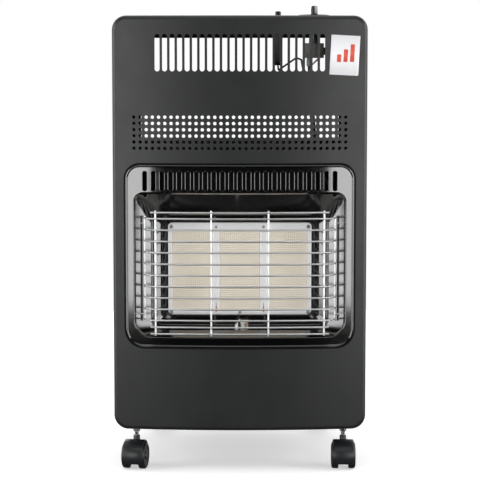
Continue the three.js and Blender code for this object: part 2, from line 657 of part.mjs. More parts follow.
// Rows of wire follow the panel's bow and turn back to an upright at each end, whose legs go through
// the recess's sides. Uprights run behind the rows.
function wireGuard() {
  const radius = sameSection(WIRE / 2, WIRE_SIDES);
  const flat = radius * Math.cos(Math.PI / WIRE_SIDES);
  const rowDepth = flat - GUARD_PROUD;
  const bowed = (half, z) => spread(-half, half, ROW_POINTS).map((x) => at(x, rowDepth + bow(x), z));
  const longRows = spread(GUARD_ROWS.lowest, GUARD_ROWS.highest, GUARD_ROWS.count).map((z) => {
    const { half, bend } = GUARD_ROWS;
    const turnIn = (side) => roundedPath([
      at(side * half, rowDepth + bow(half), z),
      at(side * GUARD_END.half, rowDepth + bow(GUARD_END.half), z),
      at(side * GUARD_END.half, GUARD_END.depth, z),
    ], bend, 2).slice(1);
    return bar([...turnIn(-1).reverse(), ...bowed(half, z), ...turnIn(1)], radius, WIRE_SIDES);
  });
  const heights = [
    GUARD_ROWS.highest + SHORT_ROWS.above,
    ...Array.from({ length: SHORT_ROWS.belowCount }, (_, i) => GUARD_ROWS.lowest - (i + 1) * SHORT_ROWS.below),
  ];
  const shortRows = heights.map((z) => bar(bowed(SHORT_ROWS.half, z), radius, WIRE_SIDES));
  const bottom = Math.min(...heights) - WIRE;
  const top = Math.max(...heights) + WIRE;
  const weld = 2 * flat - WELD;
  const uprights = UPRIGHTS.map((x) => (
    bar([at(x, rowDepth + bow(x) + weld, bottom), at(x, rowDepth + bow(x) + weld, top)], radius, WIRE_SIDES)
  ));
  const ends = [-1, 1].flatMap((side) => [
    bar([
      at(side * GUARD_END.half, GUARD_END.depth, GUARD_ROWS.lowest - WIRE),
      at(side * GUARD_END.half, GUARD_END.depth, GUARD_ROWS.highest + WIRE),
    ], radius, WIRE_SIDES),
    ...[GUARD_END.lowLeg, GUARD_END.highLeg].map((z) => bar([
      at(side * GUARD_END.half, GUARD_END.depth, z),
      at(side * (GUARD_END.half + GUARD_END.leg), GUARD_END.depth, z),
    ], radius, WIRE_SIDES)),
  ]);
  return join(...uprights, ...ends, ...longRows, ...shortRows);
}

// ---- Burner -------------------------------------------------------------------------------------------

const plaqueCentres = evenly(PLAQUE.count, PLAQUE.pitch);

function burnerFrame() {
  const { thickness, radius, bar: rib, lap } = FRAME;
  const shape = roundedRect(-FRAME_HALF, FRAME_HALF, PLAQUE.z - FRAME_RISE, PLAQUE.z + FRAME_RISE, radius);
  const windowHalf = (PLAQUE.pitch - rib) / 2;
  const windowRise = PLAQUE.height / 2 - lap;
  plaqueCentres.forEach((x) => shape.holes.push(roundedRect(
    x - windowHalf, x + windowHalf, PLAQUE.z - windowRise, PLAQUE.z + windowRise, 2,
  )));
  const far = RECESS.depth - 2 * FIT;
  return softPlate(shape, far - thickness, far, 0.8);
}

function ceramicPlaque(x) {
  const half = PLAQUE.width / 2;
  const rise = PLAQUE.height / 2;
  const shape = roundedRect(x - half, x + half, PLAQUE.z - rise, PLAQUE.z + rise, 1.5);
  return softPlate(shape, PLAQUE_FRONT, PLAQUE_FRONT + PLAQUE.thickness, 0.8);
}

// A cast box with one chamber to a plaque. Each plaque lies on its chamber's ledge.
function burnerBody() {
  const side = ((PLAQUE.count - 1) * PLAQUE.pitch + PLAQUE.width) / 2 + FIT + BODY_WALL;
  const rise = PLAQUE.height / 2 + FIT + BODY_WALL;
  const box = frontOn(roundedRect(-side, side, PLAQUE.z - rise, PLAQUE.z + rise, 5), BODY_FRONT, BODY_BACK);
  const flange = frontOn(
    roundedRect(-FRAME_HALF, FRAME_HALF, PLAQUE.z - FRAME_RISE, PLAQUE.z + FRAME_RISE, FRAME.radius),
    BODY_FRONT, BODY_FRONT + BODY_WALL / 2,
  );
  const ledge = PLAQUE_FRONT + PLAQUE.thickness + FIT;
  const seats = plaqueCentres.map((x) => {
    const half = PLAQUE.width / 2 + FIT;
    const up = PLAQUE.height / 2 + FIT;
    return block(x - half, x + half, BODY_FRONT - 1, ledge, PLAQUE.z - up, PLAQUE.z + up);
  });
  const chambers = plaqueCentres.map((x) => {
    const half = PLAQUE.width / 2 - PLAQUE_LEDGE;
    const up = PLAQUE.height / 2 - PLAQUE_LEDGE;
    return block(x - half, x + half, BODY_FRONT, BODY_BACK - BODY_WALL, PLAQUE.z - up, PLAQUE.z + up);
  });
  const ports = plaqueCentres.map((x) => (
    post(x, MIXER.depth, MIXER.radius + FIT, PLAQUE.z - rise - 1, PLAQUE.z - PLAQUE.height / 4)
  ));
  return cut(cut(cut(join(box, flange), ...seats), ...chambers), ...ports);
}

// An open tube with a bell mouth where gas and air go in.
function mixerTube(x) {
  const { radius, bell, wall, bottom, top, flare } = MIXER;
  return turned([
    [bell, bottom], [radius, bottom + flare], [radius, top], [radius - wall, top],
    [radius - wall, bottom + flare], [bell - wall, bottom], [bell, bottom],
  ], x, MIXER.depth);
}

// A bar with an injector under each mixer tube. It is bolted to the heat shield.
function injectorRail() {
  const { left, right, bottom, top, front } = RAIL;
  const rail = block(left, right, front, SHIELD_DEPTH - FIT, bottom, top);
  const injectors = plaqueCentres.map((x) => turned([
    [0, top - 2], [INJECTOR.radius, top - 2], [INJECTOR.radius, top + INJECTOR.height * 0.55],
    [INJECTOR.tip, top + INJECTOR.height], [0, top + INJECTOR.height],
  ], x, MIXER.depth, 6));
  return join(rail, ...injectors);
}

// An angle on the rail's front, with a hole for each piece of the pilot group.
function pilotBracket() {
  const { left, right, front, top, thickness, drop } = PILOT_PLATE;
  const [near, far] = [behind(front), behind(PILOT_FLANGE_BACK)];
  const profile = polygon(
    [near, top - thickness], [far - thickness, top - thickness], [far - thickness, top - thickness - drop],
    [far, top - thickness - drop], [far, top], [near, top],
  );
  const holes = [ELECTRODE, PILOT, THERMOCOUPLE].map(({ x, depth, radius }) => (
    post(x, depth, radius + FIT, top - 2 * thickness, top + thickness, SMALL_ROUND)
  ));
  return cut(sideOn(profile, left, right), ...holes);
}

// A hooded brass nozzle with a collar that sits on the bracket.
function pilotBurner() {
  const { x, depth, radius, bottom, top } = PILOT;
  const seat = PILOT_PLATE.top + FIT;
  return turned([
    [0, bottom], [radius, bottom], [radius, seat], [radius + 1.4, seat], [radius + 1.4, seat + 3],
    [radius, seat + 3], [radius, top - 6], [radius + 1, top - 4], [radius + 1, top - 1],
    [radius - 0.6, top], [0, top],
  ], x, depth, SMALL_ROUND);
}

// A ceramic insulator with a wire that bends over towards the pilot.
function sparkElectrode() {
  const { x, depth, radius, bottom, top, wire, tip } = ELECTRODE;
  const seat = PILOT_PLATE.top + FIT;
  const insulator = turned([
    [0, bottom], [radius, bottom], [radius, seat], [radius + 1.2, seat], [radius + 1.2, seat + 2.5],
    [radius, seat + 2.5], [radius * 0.8, top], [0, top],
  ], x, depth, SMALL_ROUND);
  const path = roundedPath([
    at(x, depth, top - 4), at(x, depth, top + tip / 2), at(x + tip * 0.7, depth, top + tip),
  ], 2, 2);
  return join(insulator, bar(path, wire, WIRE_SIDES));
}

// A probe that leans towards the pilot flame, with a hexagon on the bracket.
function thermocouple() {
  const { x, depth, radius, bottom, knee, top, lean } = THERMOCOUPLE;
  const path = roundedPath([at(x, depth, bottom), at(x, depth, knee), at(x + lean, depth, top)], 6, 2);
  const seat = PILOT_PLATE.top + FIT;
  const hexagon = post(x, depth, radius + 1.6, seat, seat + 3, 6);
  return join(bar(path, radius, SMALL_ROUND), hexagon);
}

// ---- Gas and ignition lines ---------------------------------------------------------------------------

// Down beside the perforations, out round the recess, and in below the burner.
const lineRoute = (depth, low) => [
  at(LINE_X, depth, LINE_TURN.high), at(LINE_SIDE_X, depth, LINE_TURN.low), at(LINE_SIDE_X, depth, low),
];

function gasPipe(depth) {
  const { radius, z } = GAS_PIPE;
  const start = at(LINE_X, depth, VALVE.bottom - FIT);
  const end = at(RAIL.right + FIT, depth, z);
  return bar(roundedPath([start, ...lineRoute(depth, z), end], LINE_BEND), radius, PIPE_SIDES);
}

function pilotPipe() {
  const { x, depth, bottom } = PILOT;
  const { radius, z } = PILOT_PIPE;
  const start = at(LINE_X, depth, VALVE.bottom - FIT);
  const corners = [start, ...lineRoute(depth, z), at(x, depth, z), at(x, depth, bottom - FIT)];
  return bar(roundedPath(corners, LINE_BEND), radius, PIPE_SIDES);
}

// From the igniter across to the bundle, and down to the foot of the electrode.
function ignitionLead() {
  const { x, depth, bottom } = ELECTRODE;
  const corners = [
    at(IGNITER.x, CONTROL_DEPTH, IGNITER.bottom - FIT),
    at(IGNITER.x, CONTROL_DEPTH, IGNITER.bottom - LEAD_LOOP.dip),
    at(LEAD_LOOP.x, depth, LEAD_LOOP.high),
    at(LINE_X, depth, LEAD_LOOP.join),
    ...lineRoute(depth, LEAD.z),
    at(x, depth, LEAD.z),
    at(x, depth, bottom - FIT),
  ];
  return bar(roundedPath(corners, LINE_BEND, 2), LEAD.radius, WIRE_SIDES);
}

// From under the valve to the foot of the probe.
function thermocoupleLead() {
  const { x, depth, bottom } = THERMOCOUPLE;
  const valveX = (KNOB.x + VALVE.right) / 2;
  const corners = [
    at(valveX, depth, VALVE.bottom - FIT), at(valveX, depth, VALVE.bottom - LEAD_DROP.straight),
    at(LINE_X, depth, VALVE.bottom - LEAD_DROP.joined),
    ...lineRoute(depth, LEAD.z), at(x, depth, LEAD.z), at(x, depth, bottom - FIT),
  ];
  return bar(roundedPath(corners, LINE_BEND, 2), LEAD.radius, WIRE_SIDES);
}

// ---- Controls -----------------------------------------------------------------------------------------

// A pressed tray under the opening in the top, with holes for the valve's stem and the igniter.
function controlTray() {
  const { left, right, half, radius, flange } = CONTROL_OPENING;
  const middle = behind(CONTROL_DEPTH);
  const ring = (grow, corner, z) => (
    roundedRect(left - grow, right + grow, middle - half - grow, middle + half + grow, corner)
      .getPoints(ARC_DIVISIONS).slice(0, -1).map(({ x, y }) => new THREE.Vector3(x, y, z))
  );
  const rim = CONTROL_FLANGE_TOP;
  const floor = CONTROL_FLOOR_TOP;
  const tray = loft([
    ring(-FIT - SHEET, radius - SHEET, floor), ring(-FIT - SHEET, radius - SHEET, rim),
    ring(flange, radius + flange, rim), ring(flange, radius + flange, rim - SHEET),
    ring(-FIT, radius, rim - SHEET), ring(-FIT, radius, floor - SHEET),
  ]);
  return cut(
    tray,
    post(KNOB.x, CONTROL_DEPTH, STEM.radius + FIT, floor - 2 * SHEET, floor + SHEET),
    post(IGNITER.x, CONTROL_DEPTH, IGNITER.neck + FIT, floor - 2 * SHEET, floor + SHEET),
  );
}

// A skirt with a raised grip, and a bore for the stem from below.
function controlKnob() {
  const { x, radius, bottom, skirt, top, bar: grip, barLength } = KNOB;
  const shoulder = bottom + skirt;
  const disc = turned([
    [0, bottom], [radius - 1.5, bottom], [radius, bottom + 1.5], [radius - 1, shoulder - 1],
    [radius - 2.5, shoulder], [0, shoulder],
  ], x, CONTROL_DEPTH, KNOB_SIDES);
  const edge = 1.4;
  const shape = roundedRect(-grip / 2, grip / 2, -barLength / 2, barLength / 2, grip / 2.4);
  const ridge = new THREE.ExtrudeGeometry(shape, {
    depth: top - shoulder - edge + 1, bevelThickness: edge, bevelSize: edge, bevelOffset: -edge,
    bevelSegments: 1, curveSegments: ARC_DIVISIONS,
  }).translate(x, behind(CONTROL_DEPTH), shoulder - 1);
  const bore = post(x, CONTROL_DEPTH, STEM.radius + FIT, bottom - 1, STEM.top + FIT);
  return cut(join(disc, ridge), bore);
}

const valveStem = () => post(KNOB.x, CONTROL_DEPTH, STEM.radius, STEM.bottom, STEM.top);

// A brass block with a bonnet for the stem, a hose inlet at its right and its outlets below.
function gasValve() {
  const { left, right, front, back, bottom, top, bonnet } = VALVE;
  const body = block(left, right, front, back, bottom, top);
  const neck = post(KNOB.x, CONTROL_DEPTH, STEM.radius + 3, top - 2, top + bonnet);
  const boss = sideOn(
    new THREE.Shape().absarc(behind(CONTROL_DEPTH), NOZZLE.z, NOZZLE.collar, 0, Math.PI * 2),
    right - 2, right + 4,
  );
  const bore = post(
    KNOB.x, CONTROL_DEPTH, STEM.radius + FIT, STEM.bottom - PRESS_TRAVEL - 2, top + bonnet + 1,
  );
  return cut(join(body, neck, boss), bore);
}

// A bent strip that hangs the valve under the tray.
function valveBracket() {
  const { width, web, front, back, sheet } = BRACKET;
  const [high, low] = [CONTROL_FLOOR_TOP - SHEET - FIT, VALVE.top + FIT];
  const [near, middle, far] = [front, web, back].map(behind);
  const profile = polygon(
    [near, high], [near, high - sheet], [middle, high - sheet], [middle, low], [far, low],
    [far, low + sheet], [middle + sheet, low + sheet], [middle + sheet, high],
  );
  const strip = sideOn(profile, KNOB.x - width / 2, KNOB.x + width / 2);
  return cut(strip, post(KNOB.x, CONTROL_DEPTH, STEM.radius + FIT, high - 2 * sheet, high + sheet));
}

// A bored spigot with barbs for a gas hose.
function hoseNozzle() {
  const { z, radius, length, barbs, barb, collar } = NOZZLE;
  const start = VALVE.right + 4 + FIT;
  const pitch = (length - 10) / barbs;
  const ribs = Array.from({ length: barbs }, (_, i) => 10 + i * pitch)
    .flatMap((x) => [[radius + barb, x + pitch * 0.25], [radius, x + pitch]]);
  const profile = [
    [radius - 1.5, 0], [collar, 0], [collar, 6], [radius, 8], [radius, 10], ...ribs,
    [radius - 1.5, length], [radius - 1.5, 0],
  ];
  return new THREE.LatheGeometry(profile.map(([r, x]) => new THREE.Vector2(r, x)), 10)
    .rotateZ(-Math.PI / 2).translate(start, behind(CONTROL_DEPTH), z);
}

// A tube of ignition works below the tray, its neck through it, and a well for the button.
function igniterBody() {
  const { x, radius, bottom, neck, neckTop, button } = IGNITER;
  const shoulder = CONTROL_FLOOR_TOP - SHEET - FIT;
  const well = neckTop - IGNITER.well;
  return turned([
    [0, bottom], [radius - 2, bottom], [radius, bottom + 4], [radius, shoulder], [neck, shoulder],
    [neck, neckTop], [button + FIT, neckTop], [button + FIT, well], [0, well],
  ], x, CONTROL_DEPTH);
}

function igniterButton() {
  const { x, neckTop, button, top } = IGNITER;
  return turned([
    [0, neckTop - IGNITER_TRAVEL], [button, neckTop - IGNITER_TRAVEL], [button, top - 1.5],
    [button - 1, top - 0.3], [0, top],
  ], x, CONTROL_DEPTH);
}

function igniterNut() {
  const low = CONTROL_FLOOR_TOP + FIT;
  const nut = post(IGNITER.x, CONTROL_DEPTH, IGNITER_NUT.radius, low, low + IGNITER_NUT.height, 6);
  return cut(nut, post(IGNITER.x, CONTROL_DEPTH, IGNITER.neck + FIT, low - 1, low + IGNITER_NUT.height + 1));
}

// ---- Casters, drawn about their own stem at x = 0, y = 0 -----------------------------------------------

const alongX = (geometry) => geometry.rotateZ(Math.PI / 2);
const atAxle = (geometry) => geometry.translate(0, -CASTER_TRAIL, AXLE_HEIGHT);
const stemPost = (radius, bottom, top, sides) => (
  new THREE.CylinderGeometry(radius, radius, top - bottom, sides)
    .rotateX(Math.PI / 2).translate(0, 0, (bottom + top) / 2)
);

// A half drum over the wheels, a web between them and a neck on the stem.
function casterHood() {
  const { outer, inner, width, front, rear } = HOOD;
  const [from, to] = [radians(rear), radians(front)];
  const drum = new THREE.Shape();
  drum.absarc(-CASTER_TRAIL, AXLE_HEIGHT, outer, from, to);
  drum.absarc(-CASTER_TRAIL, AXLE_HEIGHT, inner, to, from, true);
  const web = new THREE.Shape();
  web.absarc(-CASTER_TRAIL, AXLE_HEIGHT, (outer + inner) / 2, from, to);
  web.lineTo(-CASTER_TRAIL - 3 * AXLE, AXLE_HEIGHT - 3 * AXLE);
  web.lineTo(-CASTER_TRAIL + 3 * AXLE, AXLE_HEIGHT - 3 * AXLE);
  const crown = AXLE_HEIGHT + (outer - inner) + Math.sqrt(inner ** 2 - CASTER_TRAIL ** 2) - 6;
  const neck = stemPost(NECK.radius, crown, NECK.top, SMALL_ROUND);
  const stemBore = stemPost(CASTER_STEM.radius + FIT, CASTER_STEM.bottom - FIT, NECK.top + 1, SMALL_ROUND);
  const axleBore = atAxle(alongX(new THREE.CylinderGeometry(AXLE + FIT, AXLE + FIT, width, SMALL_ROUND)));
  return cut(
    join(sideOn(drum, -width / 2, width / 2, 4), sideOn(web, -HOOD_WEB, HOOD_WEB, 4), neck),
    stemBore, axleBore,
  );
}

// The stem's end stops inside the base tray. Its socket bears on the tray from below, over its nut.
function casterStem() {
  const { radius, nut, nutBottom, socket, socketBottom, bottom } = CASTER_STEM;
  const seat = TRAY_BOTTOM - FIT;
  const profile = [
    [0, bottom], [radius, bottom], [radius, nutBottom], [nut, nutBottom], [nut, socketBottom],
    [socket, socketBottom], [socket, seat], [radius, seat], [radius, TRAY_TOP - FIT], [0, TRAY_TOP - FIT],
  ].map(([r, z]) => new THREE.Vector2(r, z));
  return new THREE.LatheGeometry(profile, SMALL_ROUND).rotateX(Math.PI / 2);
}

function casterWheel(side) {
  const { radius, width, gap, sides, chamfer } = WHEEL;
  const [outer, inner] = [width / 2, -width / 2];
  const profile = [
    [AXLE + FIT, inner], [radius, inner], [radius, outer - chamfer], [radius - chamfer, outer],
    [AXLE + FIT, outer], [AXLE + FIT, inner],
  ].map(([r, x]) => new THREE.Vector2(r, x));
  const tyre = new THREE.LatheGeometry(profile, sides).rotateY(Math.PI / sides);
  const facing = side > 0 ? Math.PI : 0;
  return atAxle(alongX(tyre).rotateZ(facing).translate((side * (gap + width)) / 2, 0, 0));
}

function casterAxle() {
  const length = WHEEL.gap + 2 * WHEEL.width - 2 * FIT;
  return atAxle(alongX(new THREE.CylinderGeometry(AXLE, AXLE, length, SMALL_ROUND)));
}

// ---- Assembly -----------------------------------------------------------------------------------------

const finish = (color, roughness, metalness) => (
  new THREE.MeshStandardMaterial({ color, roughness, metalness, flatShading: true })
);
const powderCoat = finish(0x35373a, 0.55, 0.2);
const enamel = finish(0x0b0c0e, 0.12, 0.1);
const chrome = finish(0xd8dbde, 0.15, 1);
const brightSteel = finish(0xb9bdc0, 0.3, 1);
const zincSteel = finish(0x8d9194, 0.45, 0.9);
const ceramic = finish(0xe0d8c8, 0.9, 0);
const whiteCeramic = finish(0xf2f0ea, 0.4, 0);
const castMetal = finish(0x8a8a86, 0.7, 0.7);
const brass = finish(0xb08d4a, 0.35, 1);
const copper = finish(0xa9673f, 0.4, 1);
const blackPlastic = finish(0x17181a, 0.5, 0);
const greyPlastic = finish(0xb4b6b8, 0.45, 0);
const leadRubber = finish(0x1c1c1c, 0.8, 0);
const darkSteel = finish(0x3a3c3e, 0.5, 0.8);

const heater = new THREE.Group();

function add(name, geometry, material, parent = heater) {
  const mesh = new THREE.Mesh(geometry, material);
  mesh.name = name;
  parent.add(mesh);
}

add("front_panel", frontPanel(), powderCoat);
add("cabinet_shell", cabinetShell(), powderCoat);
add("base_tray", baseTray(), powderCoat);
add("heat_shield", heatShield(), zincSteel);
add("rear_cover", rearCover(), powderCoat);
add("cover_rail_left", coverRail(-1), powderCoat);
add("cover_rail_right", coverRail(1), powderCoat);

add("burner_surround", burnerSurround(), enamel);
add("wire_guard", wireGuard(), chrome);
add("burner_frame", burnerFrame(), brightSteel);
plaqueCentres.forEach((x, i) => add(`ceramic_plaque_${i + 1}`, ceramicPlaque(x), ceramic));
add("burner_body", burnerBody(), castMetal);
plaqueCentres.forEach((x, i) => add(`mixer_tube_${i + 1}`, mixerTube(x), zincSteel));
add("injector_rail", injectorRail(), brass);

add("pilot_bracket", pilotBracket(), zincSteel);
add("pilot_burner", pilotBurner(), brass);
add("spark_electrode", sparkElectrode(), whiteCeramic);
add("thermocouple", thermocouple(), copper);

GAS_PIPE.depths.forEach((depth, i) => add(`gas_pipe_${i + 1}`, gasPipe(depth), darkSteel));
add("pilot_pipe", pilotPipe(), darkSteel);
add("ignition_lead", ignitionLead(), leadRubber);
add("thermocouple_lead", thermocoupleLead(), copper);

add("control_tray", controlTray(), powderCoat);
add("control_knob", controlKnob(), blackPlastic);
add("valve_stem", valveStem(), zincSteel);
add("gas_valve", gasValve(), castMetal);
add("valve_bracket", valveBracket(), zincSteel);
add("hose_nozzle", hoseNozzle(), zincSteel);
add("igniter_body", igniterBody(), blackPlastic);
add("igniter_button", igniterButton(), greyPlastic);
add("igniter_nut", igniterNut(), blackPlastic);

CASTERS.forEach(({ name, x, depth }) => {
  const caster = new THREE.Group();
  const yaw = radians(YAWS[name]);
  const outward = Math.sign(x * Math.cos(yaw));
  caster.position.set(x, behind(depth), 0);
  caster.rotation.z = yaw;
  add(`caster_stem_${name}`, casterStem(), chrome, caster);
  add(`caster_hood_${name}`, casterHood(), blackPlastic, caster);
  add(`caster_axle_${name}`, casterAxle(), zincSteel, caster);
  add(`caster_wheel_${name}_outer`, casterWheel(outward), blackPlastic, caster);
  add(`caster_wheel_${name}_inner`, casterWheel(-outward), blackPlastic, caster);
  heater.add(caster);
});

export default heater;
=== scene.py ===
"""Portable gas cabinet heater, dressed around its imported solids. Lengths are millimetres until a mesh is made."""

from math import atan2, copysign, cos, dist, pi, radians, sin, sqrt, tan

import bmesh
import bpy
from mathutils import Matrix, Vector


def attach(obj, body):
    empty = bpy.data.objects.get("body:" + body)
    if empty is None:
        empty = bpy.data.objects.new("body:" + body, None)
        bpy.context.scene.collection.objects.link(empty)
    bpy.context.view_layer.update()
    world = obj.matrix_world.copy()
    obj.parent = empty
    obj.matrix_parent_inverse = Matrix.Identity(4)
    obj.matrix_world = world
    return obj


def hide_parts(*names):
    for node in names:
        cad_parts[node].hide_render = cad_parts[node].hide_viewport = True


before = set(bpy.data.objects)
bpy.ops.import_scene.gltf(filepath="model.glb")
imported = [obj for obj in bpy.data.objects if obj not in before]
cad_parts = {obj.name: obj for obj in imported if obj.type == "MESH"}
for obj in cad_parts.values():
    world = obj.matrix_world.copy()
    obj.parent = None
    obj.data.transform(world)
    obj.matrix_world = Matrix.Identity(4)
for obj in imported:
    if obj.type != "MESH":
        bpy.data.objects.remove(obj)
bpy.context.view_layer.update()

# ---- Camera ----
# A long lens from a little below the heater's top, square to its front. The view is aimed some 5 degrees
# down, and a small shift brings the casters in without tilting it further.
MM = 0.001
FRONT = -201  # y of the front panel's foremost line; depths are measured back from it
AIM_PITCH = 5.45  # degrees below level
AIM_DISTANCE, AIM_HEIGHT, AIM_ASIDE = 2800, 691, 0.3


def linked(name, data):
    """A new object, in the scene."""
    made = bpy.data.objects.new(name, data)
    bpy.context.scene.collection.objects.link(made)
    return made


lens = bpy.data.cameras.new("camera")
lens.lens, lens.sensor_width = 131.5, 36
lens.shift_y = -0.05
camera = linked("camera", lens)
camera.location = (AIM_ASIDE * MM, (FRONT - AIM_DISTANCE) * MM, AIM_HEIGHT * MM)
camera.rotation_euler = (radians(90 - AIM_PITCH), 0, 0)
bpy.context.scene.camera = camera

# ---- Studio ----
# A pale paper floor in a white surround. Soft boxes stand in front and at the sides in pairs, and three
# wide ones hang overhead, high in front and behind. Places and sizes of the lights are metres.


def linear(hex_colour, alpha=1.0):
    """An sRGB hex colour as linear light."""
    parts = [int(hex_colour[i:i + 2], 16) / 255 for i in (1, 3, 5)]
    return (*(p / 12.92 if p <= 0.04045 else ((p + 0.055) / 1.055) ** 2.4 for p in parts), alpha)


def add(tree, kind, settings=None, inputs=None):
    """Adds a shader node. An input given a socket is linked to it, any other value is set."""
    made = tree.nodes.new("ShaderNode" + kind)
    for key, value in (settings or {}).items():
        setattr(made, key, value)
    for key, value in (inputs or {}).items():
        if isinstance(value, bpy.types.NodeSocket):
            tree.links.new(value, made.inputs[key])
        else:
            made.inputs[key].default_value = value
    return made


def coating(name, slot, base, roughness, metallic=0.0, **sockets):
    """A material of the record's slot, set on its shader's own sockets. Patterns are linked in afterwards."""
    made = bpy.data.materials.new(name)
    made.use_nodes = True
    shader = made.node_tree.nodes["Principled BSDF"]
    values = {"Base Color": linear(base), "Roughness": roughness, "Metallic": metallic, **sockets}
    for key, value in values.items():
        shader.inputs[key].default_value = value
    if slot:
        made["slot"] = slot
    return made, made.node_tree, shader


def studio_world():
    """White for the camera. Gloss sees white behind the heater and near black in front and below, so the
    enamel stays dark. All other light from the surround is a grey fill."""
    world = bpy.data.worlds.new("studio")
    bpy.context.scene.world = world
    world.use_nodes = True
    tree = world.node_tree
    tree.nodes.clear()
    rays = add(tree, "LightPath")
    place = add(tree, "TexCoord")
    axes = add(tree, "SeparateXYZ", None, {0: place.outputs["Generated"]})
    rear = add(tree, "MapRange", None, {0: axes.outputs["Y"], 1: -0.15, 2: 0.25, 3: 0.03, 4: 1.0})
    seen = add(tree, "Math", {"operation": "MAXIMUM"},
               {0: rays.outputs["Is Glossy Ray"], 1: rays.outputs["Is Transmission Ray"]})
    below = add(tree, "MapRange", None, {0: axes.outputs["Z"], 1: -0.3, 2: 0.1, 3: 0.05, 4: 1.0})
    gloss = add(tree, "Math", {"operation": "MULTIPLY"}, {0: rear.outputs[0], 1: below.outputs[0]})
    fill = add(tree, "MixRGB", None, {0: seen.outputs[0], 1: (0.3, 0.3, 0.3, 1), 2: gloss.outputs[0]})
    whole = add(tree, "MixRGB", None, {0: rays.outputs["Is Camera Ray"], 1: fill.outputs[0], 2: (1, 1, 1, 1)})
    light = add(tree, "Background", None, {"Color": whole.outputs[0], "Strength": 1.0})
    add(tree, "OutputWorld", None, {0: light.outputs[0]})


def soft_box(name, place, aim, width, height, radiance):
    """A rectangle of even light, facing aim."""
    data = bpy.data.lights.new(name, "AREA")
    data.shape, data.size, data.size_y = "RECTANGLE", width, height
    data.energy = radiance * pi * width * height
    lamp = linked(name, data)
    lamp.location = place
    lamp.rotation_euler = (Vector(aim) - Vector(place)).to_track_quat("-Z", "Y").to_euler()
    lamp.visible_camera = False


studio_world()
for side, name in ((-1, "left"), (1, "right")):
    soft_box(f"front_box_{name}", (side * 1.2, -2.3, 0.52), (0, -0.15, 0.46), 0.95, 1.2, 4.1)
    soft_box(f"side_box_{name}", (side * 1.9, -0.62, 0.65), (0, -0.15, 0.45), 1.1, 1.6, 4.5)
soft_box("overhead_box", (0, -0.15, 2.6), (0, 0, 0.4), 2.2, 1.6, 0.8)
soft_box("high_front_box", (0, -1.7, 2.3), (0, -0.1, 0.4), 2.0, 0.7, 1.7)
soft_box("rear_box", (0, 2.4, 1.3), (0, 0, 0.4), 2.2, 1.4, 2.4)

bpy.ops.mesh.primitive_circle_add(vertices=96, radius=1.3, fill_type="NGON", location=(0, 0.35, 0))
floor = bpy.context.object
floor.name = "floor"
floor.visible_glossy = False
# Matt studio paper. It is lifted towards white for the camera alone, and keeps the heater's shadow.
PAPER, tree, shader = coating("floor_paper", None, "#F4F4F4", 0.9, **{"Emission Color": (1, 1, 1, 1)})
lift = add(tree, "Math", {"operation": "MULTIPLY"}, {0: add(tree, "LightPath").outputs["Is Camera Ray"], 1: 0.45})
tree.links.new(lift.outputs[0], shader.inputs["Emission Strength"])
floor.data.materials.append(PAPER)

# ---- Cabinet shell ----
# Sides and top are one sheet of 1 mm mild steel, bent at the corners, with its feet and rear edge
# turned in and its front edge held inside the front panel. It has a satin charcoal powder coat.
BACK = 206  # y of the rear cover's outermost line
SHEET = 1.0
SHELL_HALF, SHELL_TOP, SHELL_BOTTOM, SHELL_CORNER = 203.7, 742.7, 74.3, 21.7
SHELL_FRONT, SHELL_BACK, SHELL_HEM = 24, 290, 30
HOLD_DEPTH, HOLD_HALF, HOLD_LOW, HOLD_HIGH = 165, 48, 587, 613  # the hand holes in both sides
WELL_LEFT, WELL_RIGHT, WELL_HALF, CONTROL_DEPTH = 42, 152, 29, 62  # the opening for the control tray
CONTROL_Y = FRONT + CONTROL_DEPTH


def behind(depth):
    return FRONT + depth


def lumps(tree, size, detail, stretch=None):
    """Noise whose lumps are size mm across, in the object's own coordinates."""
    vector = add(tree, "TexCoord").outputs["Object"]
    if stretch:
        vector = add(tree, "Mapping", None, {"Vector": vector, "Scale": stretch}).outputs[0]
    return add(tree, "TexNoise", None, {"Vector": vector, "Scale": 1000 / size, "Detail": detail}).outputs[0]


def grain(tree, shader, size, strength, depth, detail=2.0):
    """Bump from lumps size mm across and depth mm deep."""
    height = lumps(tree, size, detail)
    bump = add(tree, "Bump", None, {"Height": height, "Strength": strength, "Distance": depth * MM})
    tree.links.new(bump.outputs[0], shader.inputs["Normal"])


def shade(tree, shader, socket, size, low, high, stretch=None):
    """Slow variation of a grey socket or a colour between low and high, in patches size mm across."""
    amount = add(tree, "MapRange", None, {0: lumps(tree, size, 3.0, stretch), 1: 0.3, 2: 0.7})
    if isinstance(low, str):
        mixed = add(tree, "MixRGB", None, {0: amount.outputs[0], 1: linear(low), 2: linear(high)})
    else:
        amount.inputs[3].default_value, amount.inputs[4].default_value = low, high
        mixed = amount
    tree.links.new(mixed.outputs[0], shader.inputs[socket])


# Polyester powder coat, sprayed and baked: a fine even orange peel, satin, a shade lighter in places.
POWDER, tree, shader = coating("powder_coat_satin_charcoal", "powder_coat", "#1D1E1F", 0.38)
grain(tree, shader, 1.6, 0.35, 0.05)
shade(tree, shader, "Base Color", 60, "#1C1D1E", "#1F2021")
shade(tree, shader, "Roughness", 35, 0.36, 0.41)


def solid(name, bm):
    """An object from a bmesh in millimetres."""
    mesh = bpy.data.meshes.new(name)
    bmesh.ops.scale(bm, vec=(MM, MM, MM), verts=bm.verts)
    bm.to_mesh(mesh)
    bm.free()
    return linked(name, mesh)


